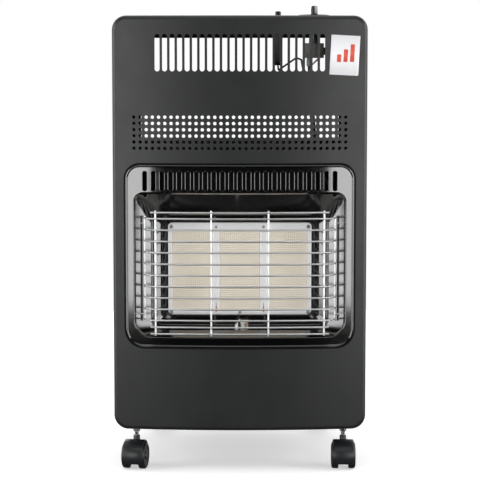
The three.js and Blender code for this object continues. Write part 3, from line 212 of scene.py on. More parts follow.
def piece(name, body, material, bm, replaced=(), crease=32, bevel=0.0, wall=0.0):
    """Turns a bmesh in millimetres into a shown piece that rides on a body and stands for some nodes."""
    made = solid(name, bm)
    mesh = made.data
    finish_piece(made, body, material, replaced)
    if wall:
        thick = made.modifiers.new("sheet", "SOLIDIFY")
        thick.thickness, thick.offset, thick.use_even_offset = abs(wall) * MM, copysign(1, wall), True
        thick.use_quality_normals = True
    mesh.polygons.foreach_set("use_smooth", [True] * len(mesh.polygons))
    mesh.set_sharp_from_angle(angle=radians(crease))
    if bevel:
        broken_edges(made, bevel, crease)
    return made


def broken_edges(made, width, crease):
    """Bevels every edge that is sharper than crease degrees."""
    soft = made.modifiers.new("soft_edge", "BEVEL")
    soft.width, soft.segments, soft.limit_method = width * MM, 2, "ANGLE"
    soft.angle_limit, soft.harden_normals = radians(crease), True


def finish_piece(made, body, material, replaced=()):
    made.data.materials.append(material)
    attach(made, body)
    if replaced:
        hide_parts(*replaced)


def loft(bm, rings, closed_ring=True, closed_row=False, caps=False):
    """Quads between rings of points, all with the same count."""
    rows = [[bm.verts.new(p) for p in ring] for ring in rings]
    pairs = list(zip(rows, rows[1:])) + ([(rows[-1], rows[0])] if closed_row else [])
    for near, far in pairs:
        for i in range(len(near) if closed_ring else len(near) - 1):
            j = (i + 1) % len(near)
            bm.faces.new((near[i], near[j], far[j], far[i]))
    if caps:
        bm.faces.new(rows[0][::-1])
        bm.faces.new(rows[-1])
    return rows


def turned_out(bm):
    bmesh.ops.recalc_face_normals(bm, faces=bm.faces)
    return bm


def arc(cx, cy, radius, start, end, steps):
    """Points on an arc, angles in degrees."""
    turns = [radians(start + (end - start) * i / steps) for i in range(steps + 1)]
    return [(cx + radius * cos(t), cy + radius * sin(t)) for t in turns]


def prism(points, low, high, axis):
    """A closed solid from an outline. Its third axis is x, y or z."""
    order = {"x": lambda a, b, c: (c, a, b), "y": lambda a, b, c: (a, c, b), "z": lambda a, b, c: (a, b, c)}[axis]
    bm = bmesh.new()
    loft(bm, [[order(a, b, c) for a, b in points] for c in (low, high)], caps=True)
    return turned_out(bm)


def rounded(left, right, bottom, top, radius, steps=8):
    corners = ((right, top, 0), (left, top, 90), (left, bottom, 180), (right, bottom, 270))
    points = []
    for x, y, start in corners:
        cx = x - radius if x == right else x + radius
        cy = y - radius if y == top else y + radius
        points += arc(cx, cy, radius, start, start + 90, steps)
    return points


def carve(made, cutters):
    """Cuts the cutters out of a piece for good."""
    tools = [solid("cutter", bm) for bm in cutters]
    for i, tool in enumerate(tools):
        cut = made.modifiers.new(f"cut_{i}", "BOOLEAN")
        cut.object, cut.operation, cut.solver = tool, "DIFFERENCE", "EXACT"
    settle(made)
    for tool in tools:
        bpy.data.objects.remove(tool)


def settle(made):
    """Applies every modifier of a piece."""
    bpy.context.view_layer.update()
    ready = made.evaluated_get(bpy.context.evaluated_depsgraph_get())
    mesh = bpy.data.meshes.new_from_object(ready)
    made.modifiers.clear()
    made.data = mesh


def soft_edges(made, width, crease=32):
    """Sharpens and bevels the edges of a sheet that carve has cut."""
    made.data.set_sharp_from_angle(angle=radians(crease))
    broken_edges(made, width, crease)


def arch(inset, foot, corner=SHELL_CORNER):
    """Half of the shell's outline from its foot to the middle of the top, then the other half."""
    half, radius = SHELL_HALF - inset, corner - inset
    points = [(half - foot, SHELL_BOTTOM + inset)] if foot else [(half, SHELL_BOTTOM + inset)]
    if foot:
        points += arc(half - radius, SHELL_BOTTOM + inset + radius, radius, 270, 360, 10)
    points += arc(half - radius, SHELL_TOP - inset - radius, radius, 0, 90, 10)
    return points + [(-x, z) for x, z in reversed(points)]


def cabinet_shell():
    bm = bmesh.new()
    bend = 2.5
    rows = [(0, SHELL_FRONT), (0, SHELL_BACK - bend)]
    rows += [(bend * (1 - cos(t)), SHELL_BACK - bend + bend * sin(t)) for t in (0.4, 0.8, 1.2)]
    rows += [(bend, SHELL_BACK)]
    loft(bm, [[(x, behind(depth), z) for x, z in arch(inset, 34 - inset)] for inset, depth in rows], False)
    bmesh.ops.recalc_face_normals(bm, faces=bm.faces)
    shell = piece("cabinet_shell_skin", "cabinet", POWDER, bm, ["cabinet_shell"], wall=-SHEET)
    settle(shell)
    middle = behind(HOLD_DEPTH)
    stadium = rounded(middle - HOLD_HALF, middle + HOLD_HALF, HOLD_LOW, HOLD_HIGH, 12.9)
    openings = rounded(WELL_LEFT, WELL_RIGHT, CONTROL_Y - WELL_HALF, CONTROL_Y + WELL_HALF, 8)
    carve(shell, [prism(stadium, -210, 210, "x"), prism(openings, 730, 750, "z")])
    soft_edges(shell, 0.3)

    # The rear flange and its hem, inside the same bend.
    bm = bmesh.new()
    edge, top = SHELL_HALF - SHELL_HEM, SHELL_TOP - 33
    inner = [(edge, SHELL_BOTTOM), (edge, top - 4)]
    inner += arc(edge - 4, top - 4, 4, 0, 90, 4)[1:]
    inner = inner + [(-x, z) for x, z in reversed(inner)]
    count = len(inner)
    outer = [(SHELL_HALF - bend, SHELL_BOTTOM), (SHELL_HALF - bend, SHELL_TOP - 21)]
    outer += arc(SHELL_HALF - SHELL_CORNER, SHELL_TOP - SHELL_CORNER, SHELL_CORNER - bend, 0, 90, count // 2 - 2)[1:]
    outer = (outer + [(-x, z) for x, z in reversed(outer)])[:count]
    hem = [(x * (edge + 1) / edge, z + (0 if z == SHELL_BOTTOM else 1)) for x, z in inner]
    rows = [(outer, SHELL_BACK), (inner, SHELL_BACK), (inner, SHELL_BACK - 6), (hem, SHELL_BACK - 6),
            (hem, SHELL_BACK - 1), (outer, SHELL_BACK - 1)]
    loft(bm, [[(x, behind(depth), z) for x, z in path] for path, depth in rows], False, True)
    piece("cabinet_shell_flange", "cabinet", POWDER, turned_out(bm), bevel=0.3)


cabinet_shell()

# ---- Base tray ----
# A 1.5 mm floor for the gas bottle under the shell's feet, powder coated. Its front edge is flanged up,
# and a lip at the back follows the rear cover's corners and keeps the bottle in.
TRAY_TOP, TRAY_BOTTOM = 74, 72.5
COVER_HALF, COVER_CORNER = 168, 40
TRAY_HALF = SHELL_HALF - SHELL_CORNER / 2


def bay(half, back, corner, start, steps=12):
    """The rear cover's line in plan, from its right edge round the back to its left edge."""
    points = [(half, start)] + arc(half - corner, back - corner, corner, 0, 90, steps)
    return points + [(-x, y) for x, y in reversed(points)]


def base_tray():
    step = behind(SHELL_BACK) + 4
    plan = [(-TRAY_HALF, behind(50)), (TRAY_HALF, behind(50)), (TRAY_HALF, step)]
    plan += bay(COVER_HALF, BACK, COVER_CORNER, step) + [(-TRAY_HALF, step)]
    piece("base_tray_floor", "cabinet", POWDER, prism(plan, TRAY_BOTTOM, TRAY_TOP, "z"), ["base_tray"], bevel=0.3)
    front = prism([(behind(50), 72.5), (behind(51.5), 72.5), (behind(51.5), 90.5), (behind(50), 90.5)],
                  -169.4, 169.4, "x")
    piece("base_tray_front_flange", "cabinet", POWDER, front, bevel=0.4)
    bm = bmesh.new()
    line = bay(COVER_HALF - 1.3, BACK - 1.3, COVER_CORNER - 1.3, BACK - COVER_CORNER)
    loft(bm, [[(x, y, z) for x, y in line] for z in (73, 85.5)], False)
    piece("base_tray_lip", "cabinet", POWDER, turned_out(bm), wall=-1.5, bevel=0.4)


base_tray()

# ---- Heat shield ----
# A bent steel sheet between the burner and the gas bottle, flanged to the shell's sides. It is zinc
# plated, and its colour is darkened nearly to black as painted shade, for the shadow it stands in.


def dressed(node, material, bevel=0.3, crease=30):
    """Gives a solid of the frame its finish, with its edges broken."""
    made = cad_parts[node]
    made.data.materials.clear()
    made.data.materials.append(material)
    made.data.polygons.foreach_set("use_smooth", [True] * len(made.data.polygons))
    joined = made.modifiers.new("joined", "WELD")
    joined.merge_threshold = 0.01 * MM
    if bevel:
        broken_edges(made, bevel, crease)


# Zinc plate, passivated: blue-grey with a faint spangle of 6 mm crystals.
ZINC, tree, shader = coating("zinc_plated_steel_passivated", "zinc_steel", "#9A9FA3", 0.38, 0.9)
place = add(tree, "TexCoord")
spangle = add(tree, "TexVoronoi", None, {"Vector": place.outputs["Object"], "Scale": 1000 / 6})
tint = add(tree, "MixRGB", None, {0: spangle.outputs["Distance"], 1: linear("#A3A8AC"), 2: linear("#8C9196")})
tree.links.new(tint.outputs[0], shader.inputs["Base Color"])
shade(tree, shader, "Roughness", 9, 0.30, 0.46)

# The same zinc plate, coloured nearly black and dead matt as painted shade: the shield stands unlit behind the slots.
ZINC_WITH_PAINTED_SHADE, tree, shader = coating("zinc_plate_with_painted_shade", "zinc_steel", "#26282A", 0.55, 0.7)
shade(tree, shader, "Roughness", 14, 0.48, 0.62)

# The heat shield, darkened as painted shade.
dressed("heat_shield", ZINC_WITH_PAINTED_SHADE)

# ---- Casters ----
# Four twin-wheel furniture casters. Hood and wheels are moulded nylon; a chromed stem carries a nut and
# a socket under the tray. Each hood turns on its stem, each wheel on the axle.
AXLE_HEIGHT, TRAIL = 21.94, 11
HOOD_OUTER, HOOD_INNER, HOOD_HALF = 26, 24, 17
WHEEL_WIDTH, WHEEL_GAP = 11, 17
CASTERS = {  # x and depth of the stem, and the way the hood trails in degrees
    "front_left": (-171, 62, -10), "front_right": (171, 62, 0),
    "rear_left": (-140, 346, 171), "rear_right": (140, 346, -174),
}

# Moulded black nylon, from a lightly spark-eroded mould: semi-matt with a 0.6 mm grain, drawn at 0.9.
NYLON, tree, shader = coating("moulded_black_nylon", "black_plastic", "#1D1E20", 0.36)
grain(tree, shader, 0.9, 0.25, 0.04)
shade(tree, shader, "Roughness", 12, 0.32, 0.42)
# Chrome plate on steel: bright, with slight draw lines along it.
CHROME, tree, shader = coating("bright_chrome_plate", "chrome", "#E6E8EA", 0.22, 1.0)
shade(tree, shader, "Roughness", 8, 0.18, 0.27)


def turned(profile, steps=48, axis="z", closed=True):
    """Turns a profile of (radius, height) about an axis through the origin. A closed profile is a ring."""
    bm = bmesh.new()
    rings = []
    for r, h in profile:
        r = max(r, 0.001)
        spin = [2 * pi * i / steps for i in range(steps)]
        ring = [(r * cos(t), r * sin(t), h) for t in spin]
        rings.append([(z, x, y) if axis == "x" else (x, z, y) if axis == "y" else (x, y, z) for x, y, z in ring])
    loft(bm, rings, closed_row=closed)
    bmesh.ops.remove_doubles(bm, verts=bm.verts, dist=0.01)
    return turned_out(bm)


def hexagon(radius, x=0.0, y=0.0, turn=0.0):
    """The corners of a hexagon, the first at turn degrees."""
    return arc(x, y, radius, turn, turn + 300, 5)


def put(bm, x=0.0, y=0.0, z=0.0, yaw=0.0):
    """Moves a bmesh into place, turned about the upright line first."""
    bm.transform(Matrix.Translation((x, y, z)) @ Matrix.Rotation(radians(yaw), 4, "Z"))
    return bm


def merged(*parts):
    """Several bmeshes in one."""
    whole = parts[0]
    for part in parts[1:]:
        mesh = bpy.data.meshes.new("part")
        part.to_mesh(mesh)
        part.free()
        whole.from_mesh(mesh)
        bpy.data.meshes.remove(mesh)
    return whole


def wheel(side):
    """Tread with rounded shoulders, a dished face with a raised hub and a rim step."""
    half, r = WHEEL_WIDTH / 2, AXLE_HEIGHT
    out = [(3.3, -half), (r - 1.2, -half), (r - 0.35, -half + 0.35), (r, -half + 1.2), (r, half - 3),
           (r - 0.5, half - 1.5), (r - 1.6, half - 0.5), (r - 3, half), (r - 4.6, half), (r - 5.2, half - 1),
           (8, half - 1.4), (7, half - 0.4), (6.4, half), (3.3, half)]
    bm = turned([(radius, side * width) for radius, width in out], 72, "x")
    bmesh.ops.translate(bm, vec=(side * (WHEEL_GAP + WHEEL_WIDTH) / 2, -TRAIL, AXLE_HEIGHT), verts=bm.verts)
    return bm


def hood():
    """A drum over the wheels with rounded shoulders, webbed between them, with a neck for the stem."""
    bm = bmesh.new()
    rows = []
    for degree in range(200, 20, -5):
        t = radians(degree + 4.8)
        across = [(-HOOD_HALF, HOOD_INNER), (-HOOD_HALF, HOOD_OUTER - 1.6), (-HOOD_HALF + 0.5, HOOD_OUTER - 0.5),
                  (-HOOD_HALF + 1.7, HOOD_OUTER), (HOOD_HALF - 1.7, HOOD_OUTER), (HOOD_HALF - 0.5, HOOD_OUTER - 0.5),
                  (HOOD_HALF, HOOD_OUTER - 1.6), (HOOD_HALF, HOOD_INNER)]
        rows.append([(x, -TRAIL + r * cos(t), AXLE_HEIGHT + r * sin(t)) for x, r in across])
    loft(bm, rows, caps=True)
    turned_out(bm)
    web = arc(-TRAIL, AXLE_HEIGHT, 25, 20, 204.8, 24) + [(-TRAIL - 9, AXLE_HEIGHT - 9), (-TRAIL + 9, AXLE_HEIGHT - 9)]
    neck = turned([(0, 40), (5.5, 40), (5.5, 52.2), (5.1, 53), (3.8, 53), (3.8, 40)], 32)
    return merged(bm, prism(web, -8.2, 8.2, "x"), neck)


for name, (x, depth, yaw) in CASTERS.items():
    spot = (x, behind(depth), 0, yaw)
    stem = turned([(0, 34), (3.5, 34), (3.5, 59.9), (0, 59.9)], 24)
    nut = prism(hexagon(5.9), 60, 66.5, "z")
    socket = turned([(0, 66.5), (8.3, 66.5), (9, 67.1), (9, 71.6), (8.4, 72.2), (0, 72.2)], 32)
    shank = turned([(0, 72), (3.5, 72), (3.5, 73.7), (0, 73.7)], 24)
    stem_bm = merged(stem, nut, socket, shank)
    piece(f"caster_{name}_stem", "cabinet", CHROME, put(stem_bm, *spot), [f"caster_stem_{name}"], bevel=0.35)
    piece(f"caster_{name}_hood", f"caster_{name}", NYLON, put(hood(), *spot), [f"caster_hood_{name}"], bevel=0.4)
    axle = turned([(0, -19.2), (2.6, -19.2), (3, -18.7), (3, 18.7), (2.6, 19.2), (0, 19.2)], 24, "x")
    bmesh.ops.translate(axle, vec=(0, -TRAIL, AXLE_HEIGHT), verts=axle.verts)
    piece(f"caster_{name}_axle", f"caster_{name}", ZINC, put(axle, *spot), [f"caster_axle_{name}"])
    outward = copysign(1, x * cos(radians(yaw)))
    for side, word in ((outward, "outer"), (-outward, "inner")):
        piece(f"caster_{name}_wheel_{word}", f"wheel_{name}_{word}", NYLON, put(wheel(side), *spot),
              [f"caster_wheel_{name}_{word}"], crease=40)

# ---- Burner ----
# A cast aluminium box holds three ceramic plaques behind a pressed steel frame. Gas goes up a mixer tube
# to each plaque from an injector on a brass rail.
PLAQUE_CENTRES, PLAQUE_Z = (-78, 0, 78), 328.5
PLAQUE_HALF, PLAQUE_RISE = 35.7, 68
PLAQUE_JOINTS = (-39, 39)
PLAQUE_FACE, FRAME_FACE = 64.7, 61.4  # depths
HOLE_PITCH = 3.4

# Aluminium cast in sand, unpainted: dull grey, with grains of about 1.4 mm left by the mould.
CAST, tree, shader = coating("sand_cast_aluminium", "cast_aluminium", "#8C8C88", 0.62, 0.8)
grain(tree, shader, 1.4, 0.5, 0.25)
# Brass bar, turned and milled: warm, and a little tarnished in patches.
BRASS, tree, shader = coating("machined_brass", "brass", "#B8934E", 0.3, 1.0)
shade(tree, shader, "Roughness", 6, 0.22, 0.4)
shade(tree, shader, "Base Color", 14, "#B38C46", "#C09C58")
# Cordierite plaque, extruded and fired: dry, cream, a little warmer and darker in patches. The real
# holes are about 1.3 mm at 2.5 mm and too fine to show, so they are spaced at 3.4 mm.
PLAQUE, tree, shader = coating("fired_cordierite_plaque", "plaque_ceramic", "#F8F0DF", 0.92)
shade(tree, shader, "Base Color", 45, "#F6ECDA", "#FBF4E6")
grain(tree, shader, 1.2, 0.35, 0.08)
# Cold-rolled steel, left bright: it catches the side lights, with rolling marks along it.
STEEL, tree, shader = coating("bright_rolled_steel", "bright_steel", "#FAFAFA", 0.36, 0.4)
shade(tree, shader, "Roughness", 30, 0.38, 0.46, (1, 1, 4))

dressed("burner_body", CAST, 0.8)
dressed("injector_rail", BRASS, 0.5)


def plaque_mesh():
    """A tile whose face is a grid of real blind holes. It lies around the origin, face at y = 0."""
    bm = bmesh.new()
    columns, rows, radius, deep, thick = 20, 39, 1.0, 4, 13
    half = HOLE_PITCH / 2
    square = [(half, 0), (half, half), (0, half), (-half, half)]
    square += [(-x, -z) for x, z in square]
    circle = arc(0, 0, radius, 0, 315, 7)
    for column in range(columns):
        for row in range(rows):
            cx = (column - (columns - 1) / 2) * HOLE_PITCH
            cz = (row - (rows - 1) / 2) * HOLE_PITCH
            edge = [bm.verts.new((cx + x, 0, cz + z)) for x, z in square]
            lip = [bm.verts.new((cx + x, 0, cz + z)) for x, z in circle]
            floor_ring = [bm.verts.new((cx + x * 0.9, deep, cz + z * 0.9)) for x, z in circle]
            for i in range(8):
                j = (i + 1) % 8
                bm.faces.new((edge[i], lip[i], lip[j], edge[j]))
                bm.faces.new((lip[i], floor_ring[i], floor_ring[j], lip[j]))
            bm.faces.new(floor_ring)
    bmesh.ops.remove_doubles(bm, verts=bm.verts, dist=0.001)
    a, b = columns * half, rows * half
    inner = [(a, b), (-a, b), (-a, -b), (a, -b)]
    outer = [(copysign(PLAQUE_HALF, x), copysign(PLAQUE_RISE, z)) for x, z in inner]
    loft(bm, [[(x, 0, z) for x, z in inner], [(x, 0, z) for x, z in outer], [(x, thick, z) for x, z in outer]])
    return turned_out(bm)


tile_bm = put(plaque_mesh(), PLAQUE_CENTRES[0], behind(PLAQUE_FACE), PLAQUE_Z)
tile = piece("ceramic_tile_1", "cabinet", PLAQUE, tile_bm, ["ceramic_plaque_1"])
for i, x in enumerate(PLAQUE_CENTRES[1:], 2):
    twin = linked(f"ceramic_tile_{i}", tile.data.copy())
    twin.data.transform(Matrix.Translation(((x - PLAQUE_CENTRES[0]) * MM, 0, 0)))
    twin.data.materials.clear()
    finish_piece(twin, "cabinet", PLAQUE, [f"ceramic_plaque_{i}"])


class Rect(tuple):
    """A rounded rectangle seen from the front: middle x, half width, bottom, top, top and bottom radii."""

    def __new__(cls, *values):
        return super().__new__(cls, values)


def grown(rect, by):
    x, half, bottom, top, high, low = rect
    return Rect(x, half + by, bottom - by, top + by, high + by, low + by)


def address(rect, x, z):
    """Where on a rounded rectangle's line a point is, in terms that hold for any other one."""
    cx, half, bottom, top, high, low = rect
    side, across = (1 if x >= cx else -1), abs(x - cx)
    top_line, low_line = top - high, bottom + low
    if z >= top_line - 1e-6 and across >= half - high - 1e-6:
        return side, "high corner", atan2(max(z - top_line, 0), across - (half - high))
    if z <= low_line + 1e-6 and across >= half - low - 1e-6:
        return side, "low corner", atan2(max(low_line - z, 0), across - (half - low))
    if z > top_line:
        return side, "top", across / (half - high)
    if z < low_line:
        return side, "bottom", across / (half - low)
    return side, "side", (z - low_line) / (top_line - low_line)


def spot_on(rect, where):
    cx, half, bottom, top, high, low = rect
    side, zone, part = where
    if zone == "high corner":
        x, z = half - high + high * cos(part), top - high + high * sin(part)
    elif zone == "low corner":
        x, z = half - low + low * cos(part), bottom + low - low * sin(part)
    elif zone == "top":
        x, z = part * (half - high), top
    elif zone == "bottom":
        x, z = part * (half - low), bottom
    else:
        x, z = half, bottom + low + part * (top - high - bottom - low)
    return cx + side * x, z


def line_of(rect, steps=8):
    """Points round a rounded rectangle."""
    quarter = [pi / 2 * i / steps for i in range(steps + 1)]
    high = [spot_on(rect, (1, "high corner", t)) for t in quarter]
    low = [spot_on(rect, (1, "low corner", t)) for t in reversed(quarter)]
    half = low + high
    points = half + [(2 * rect[0] - x, z) for x, z in reversed(half)]
    tidy = []
    for p in points:
        if not tidy or dist(p, tidy[-1]) > 1e-4:
            tidy.append(p)
    return tidy if dist(tidy[0], tidy[-1]) > 1e-4 else tidy[:-1]


BOW_RADIUS = (205 ** 2 + 16 ** 2) / (2 * 16)  # the front bows 16 mm over a half width of 205


def bow(x):
    return BOW_RADIUS - sqrt(BOW_RADIUS ** 2 - x ** 2)


def sliced(bm, columns):
    """Cuts a flat sheet along upright lines, so that it can bend, and turns its faces to the front."""
    for x in columns:
        geometry = bm.verts[:] + bm.edges[:] + bm.faces[:]
        bmesh.ops.bisect_plane(bm, geom=geometry, plane_co=(x, 0, 0), plane_no=(1, 0, 0), dist=1e-4)
    for face in bm.faces:
        face.normal_update()
        if face.normal.y > 0:
            face.normal_flip()


def pressing(outer, openings, columns, depth, edges, bowed=1, steps=8, small_steps=6):
    """A flat or bowed sheet with openings. edges gives, for line 0 (outer) and openings 1 on, the further
    rings (rect, depth, share of the bow) that the sheet's edge is drawn through."""
    bm = bmesh.new()
    rects = [outer, *openings]
    for i, rect in enumerate(rects):
        ring = [bm.verts.new((x, 0, z)) for x, z in line_of(rect, steps if i == 0 or rect[1] > 30 else small_steps)]
        for a, b in zip(ring, ring[1:] + ring[:1]):
            bm.edges.new((a, b))
    bmesh.ops.triangle_fill(bm, use_beauty=True, edges=bm.edges[:], normal=(0, -1, 0))
    sliced(bm, columns)
    loops = boundary_loops(bm)
    depths = {vert: (depth, bowed) for vert in bm.verts}
    for loop in loops:
        xs, zs = [v.co.x for v in loop], [v.co.z for v in loop]
        box = (min(xs), max(xs), min(zs), max(zs))
        boxes = [(x - half, x + half, bottom, top) for x, half, bottom, top, *_ in rects]
        index = min(range(len(rects)), key=lambda i: sum(abs(a - b) for a, b in zip(box, boxes[i])))
        if index not in edges:
            continue
        where = [address(rects[index], v.co.x, v.co.z) for v in loop]
        last = loop
        for rect, ring_depth, share in edges[index]:
            fresh = [bm.verts.new((x, 0, z)) for x, z in (spot_on(rect, w) for w in where)]
            for i in range(len(last)):
                j = (i + 1) % len(last)
                bm.faces.new((last[j], last[i], fresh[i], fresh[j]))
            for v in fresh:
                depths[v] = (ring_depth, share)
            last = fresh
    for v, (ring_depth, share) in depths.items():
        v.co.y = behind(ring_depth + share * bow(v.co.x))
    return bm


def boundary_loops(bm):
    """The sheet's free edges as loops of vertices, each in the order of its faces' edges."""
    following = {}
    for edge in bm.edges:
        if len(edge.link_faces) == 1:
            loop = edge.link_loops[0]
            following[loop.vert] = loop.link_loop_next.vert
    loops = []
    while following:
        start, vert = next(iter(following.items()))
        ring = [start]
        del following[start]
        while vert in following:
            ring.append(vert)
            vert = following.pop(vert)
        loops.append(ring)
    return loops


def burner_frame():
    """A 3 mm deep pressed frame with three windows, their edges turned in over the plaques."""
    half, rise, far = 116.6, 77.5, FRAME_FACE + 3
    plate = Rect(0, half, PLAQUE_Z - rise + 5, PLAQUE_Z + rise, 6, 6)
    windows = [Rect(x, 34.2, PLAQUE_Z - 66.4, PLAQUE_Z + 66.4, 2.5, 2.5) for x in PLAQUE_CENTRES]
    edges = {0: [(grown(plate, 0.9), far - 2.6, 0), (grown(plate, 1.2), far - 1.8, 0), (grown(plate, 1.2), far, 0)]}
    for i, window in enumerate(windows):
        edges[i + 1] = [(grown(window, -0.7), far - 2.6, 0), (grown(window, -1.0), far - 1.8, 0),
                        (grown(window, -1.0), far - 0.3, 0)]
    wide = [grown(window, 1.2) for window in windows]
    for i, window in enumerate(wide):
        edges[i + 1].insert(0, (grown(window, -0.6), far - 2.95, 0))
    return pressing(grown(plate, -1.2), wide, [], FRAME_FACE, edges, 0)


piece("burner_frame_pressing", "cabinet", STEEL, burner_frame(), ["burner_frame"], crease=50)


def screw_head(x, depth, z, radius=3.2, cross=True):
    """A pan-head screw or, without its cross, a rivet, standing out towards the front."""
    dome = [(radius, 0), (radius, -radius * 0.22), (radius * 0.86, -radius * 0.48), (radius * 0.5, -radius * 0.62),
            (0, -radius * 0.66)]
    bm = turned([(0, 0.2)] + dome, 24, "y", closed=False)
    if cross:
        for turn in (0.4, 0.4 + pi / 2):
            bar = prism(rounded(-radius * 0.5, radius * 0.5, -radius * 0.1, radius * 0.1, radius * 0.09, 2),
                        -radius * 0.74, -radius * 0.3, "y")
            bar.transform(Matrix.Rotation(turn, 4, "Y"))
            bm = merged(bm, bar)
    return put(bm, x, behind(depth), z)


# Four screws hold the frame to the body. Small rivets show over the plaques' joints and under the middle.
heads = [screw_head(x, FRAME_FACE, z) for x in (-112.5, 112.5) for z in (PLAQUE_Z - 69.5, PLAQUE_Z + 72)]
heads += [screw_head(x, FRAME_FACE, PLAQUE_Z + 71.6, 2.3, False) for x in PLAQUE_JOINTS]
heads += [screw_head(0, FRAME_FACE, PLAQUE_Z - 69.6, 2.6, False)]
piece("burner_frame_screws", "cabinet", ZINC, merged(*heads))

# Red high-temperature sealant, smeared and cured: a dull red tongue at the foot of each joint.
SEALANT, tree, shader = coating("silicone_sealant_red", "lead_rubber", "#B5452F", 0.6)
beads = []
for x in PLAQUE_JOINTS:
    tongue = [(x - 1.1, 259.5), (x + 1.1, 259.5), (x + 0.9, 266), (x + 0.15, 276), (x - 0.5, 266)]
    beads.append(prism(tongue, behind(FRAME_FACE - 0.5), behind(FRAME_FACE + 0.2), "y"))
piece("plaque_joint_sealant", "cabinet", SEALANT, merged(*beads), bevel=0.2)

for i, x in enumerate(PLAQUE_CENTRES):
    mixer = turned([(9.9, 221), (7.9, 228), (7.5, 233), (7.5, 330), (6.5, 330), (6.5, 233), (6.9, 228),
                    (8.9, 221)], 40)
    piece(f"mixer_tube_{i + 1}_pressing", "cabinet", ZINC, put(mixer, x, behind(86.6)), [f"mixer_tube_{i + 1}"])

# ---- Pilot group ----
# A steel angle on the rail carries the pilot burner, the spark electrode in its glazed insulator and
# the thermocouple that leans across the pilot flame.
SPARK_X, SPARK_DEPTH = -5.3, 43
PROBE_X, PROBE_DEPTH = 18, 50
PILOT_X, PILOT_DEPTH = 5.6, 57

# Alumina, glazed and fired: smooth white with a small sharp highlight.
GLAZE, tree, shader = coating("glazed_alumina", "white_ceramic", "#F1EFEA", 0.16)
# Copper tube, drawn and annealed: pale pink-brown, dulled unevenly by handling.
COPPER, tree, shader = coating("drawn_copper_tube", "copper", "#D6B08C", 0.3, 1.0)
shade(tree, shader, "Base Color", 16, "#C9A07A", "#DEBB99")
shade(tree, shader, "Roughness", 9, 0.24, 0.42)

dressed("pilot_bracket", ZINC)


def rounded_path(corners, bend, steps=7):
    """The corners' path with each inner corner rounded to a radius."""
    corners = [Vector(c) for c in corners]
    points = [corners[0]]
    for before, here, after in zip(corners, corners[1:], corners[2:]):
        back, on = before - here, after - here
        half = back.angle(on) / 2
        reach = min(bend / tan(half), back.length * 0.49, on.length * 0.49)
        radius = reach * tan(half)
        back, on = back.normalized(), on.normalized()
        centre = here + (back + on).normalized() * (radius / sin(half))
        start, end = here + back * reach - centre, here + on * reach - centre
        for i in range(steps + 1):
            points.append(centre + start.slerp(end, i / steps))
    return points + [corners[-1]]


def tube(name, body, material, path, radius, replaced=(), sides=3):
    """A round bar or pipe along a path, as a curve."""
    curve = bpy.data.curves.new(name, "CURVE")
    curve.dimensions, curve.bevel_depth, curve.bevel_resolution = "3D", radius * MM, sides
    curve.use_fill_caps = True
    paths = path if isinstance(path[0], list) else [path]
    for points in paths:
        spline = curve.splines.new("POLY")
        spline.points.add(len(points) - 1)
        for point, place in zip(spline.points, points):
            point.co = (*(Vector(place) * MM), 1)
        spline.use_smooth = True
    made = linked(name, curve)
    finish_piece(made, body, material, replaced)
    return made


insulator = turned([(0, 216), (3.2, 216), (3.2, 222.5), (4.3, 222.6), (4.4, 224.7), (3.3, 225), (3.1, 236),
                    (2.3, 241.5), (1.2, 242), (0, 242)], 28)
piece("spark_insulator", "cabinet", GLAZE, put(insulator, SPARK_X, behind(SPARK_DEPTH)), ["spark_electrode"])
tip = [(SPARK_X, behind(SPARK_DEPTH), 238), (SPARK_X, behind(SPARK_DEPTH), 246), (0.3, behind(SPARK_DEPTH), 250)]
tube("spark_wire", "cabinet", STEEL, rounded_path(tip, 2.5), 0.9)
pilot = turned([(0, 214), (4, 214), (4, 222.5), (5.3, 222.6), (5.4, 225.3), (4.1, 225.6), (4, 239.5), (4.9, 241.5),
                (5, 244.6), (3.4, 246), (0, 246)], 28)
piece("pilot_burner_hood", "cabinet", STEEL, put(pilot, PILOT_X, behind(PILOT_DEPTH)), ["pilot_burner"])
probe = [(x, behind(PROBE_DEPTH), z) for x, z in ((PROBE_X, 214), (PROBE_X, 230), (11.6, 248))]
tube("thermocouple_probe", "cabinet", COPPER, rounded_path(probe, 6), 2, ["thermocouple"])
nut = prism(hexagon(4.2, PROBE_X, behind(PROBE_DEPTH)), 222.5, 225.5, "z")
piece("thermocouple_nut", "cabinet", BRASS, nut, bevel=0.3)

# ---- Gas and ignition lines ----
# Coated steel pipes from the valve to the rail and to the pilot, a rubber-sleeved lead from the igniter to
# the electrode, and the thermocouple's lead. All come down the right side in a flat bundle.
LINE_X, LINE_SIDE_X, IGNITER_X, PROBE_PORT_X = 112.5, 160, 62, 128
MAIN_DEPTHS = (72, 79, 86)
PORTS, RAIL_RUN, PILOT_RUN = 675.7, 202, 204  # heights of the valve's ports and of the runs to the burner

# Silicone rubber sleeve, extruded: matt black with a slight unevenness.
RUBBER, tree, shader = coating("rubber_sleeve", "lead_rubber", "#1B1B1C", 0.62)
grain(tree, shader, 1.5, 0.3, 0.06)


def down(depth, low):
    """The part of a line's path that all lines share: out to the side and down it."""
    return [(LINE_X, behind(depth), 508), (LINE_SIDE_X, behind(depth), 468), (LINE_SIDE_X, behind(depth), low)]


# Steel tube with a dark passivated coat, as bent by the maker: dull, nearly black.
DARK_STEEL, tree, shader = coating("dark_coated_steel_tube", "dark_steel", "#2C2D2F", 0.4, 0.6)
shade(tree, shader, "Roughness", 9, 0.34, 0.5)

for i, depth in enumerate(MAIN_DEPTHS):
    path = [(LINE_X, behind(depth), PORTS), *down(depth, RAIL_RUN), (100.3, behind(depth), RAIL_RUN)]
    tube(f"gas_pipe_{i + 1}_tube", "cabinet", DARK_STEEL, rounded_path(path, 14), 2.75, [f"gas_pipe_{i + 1}"])
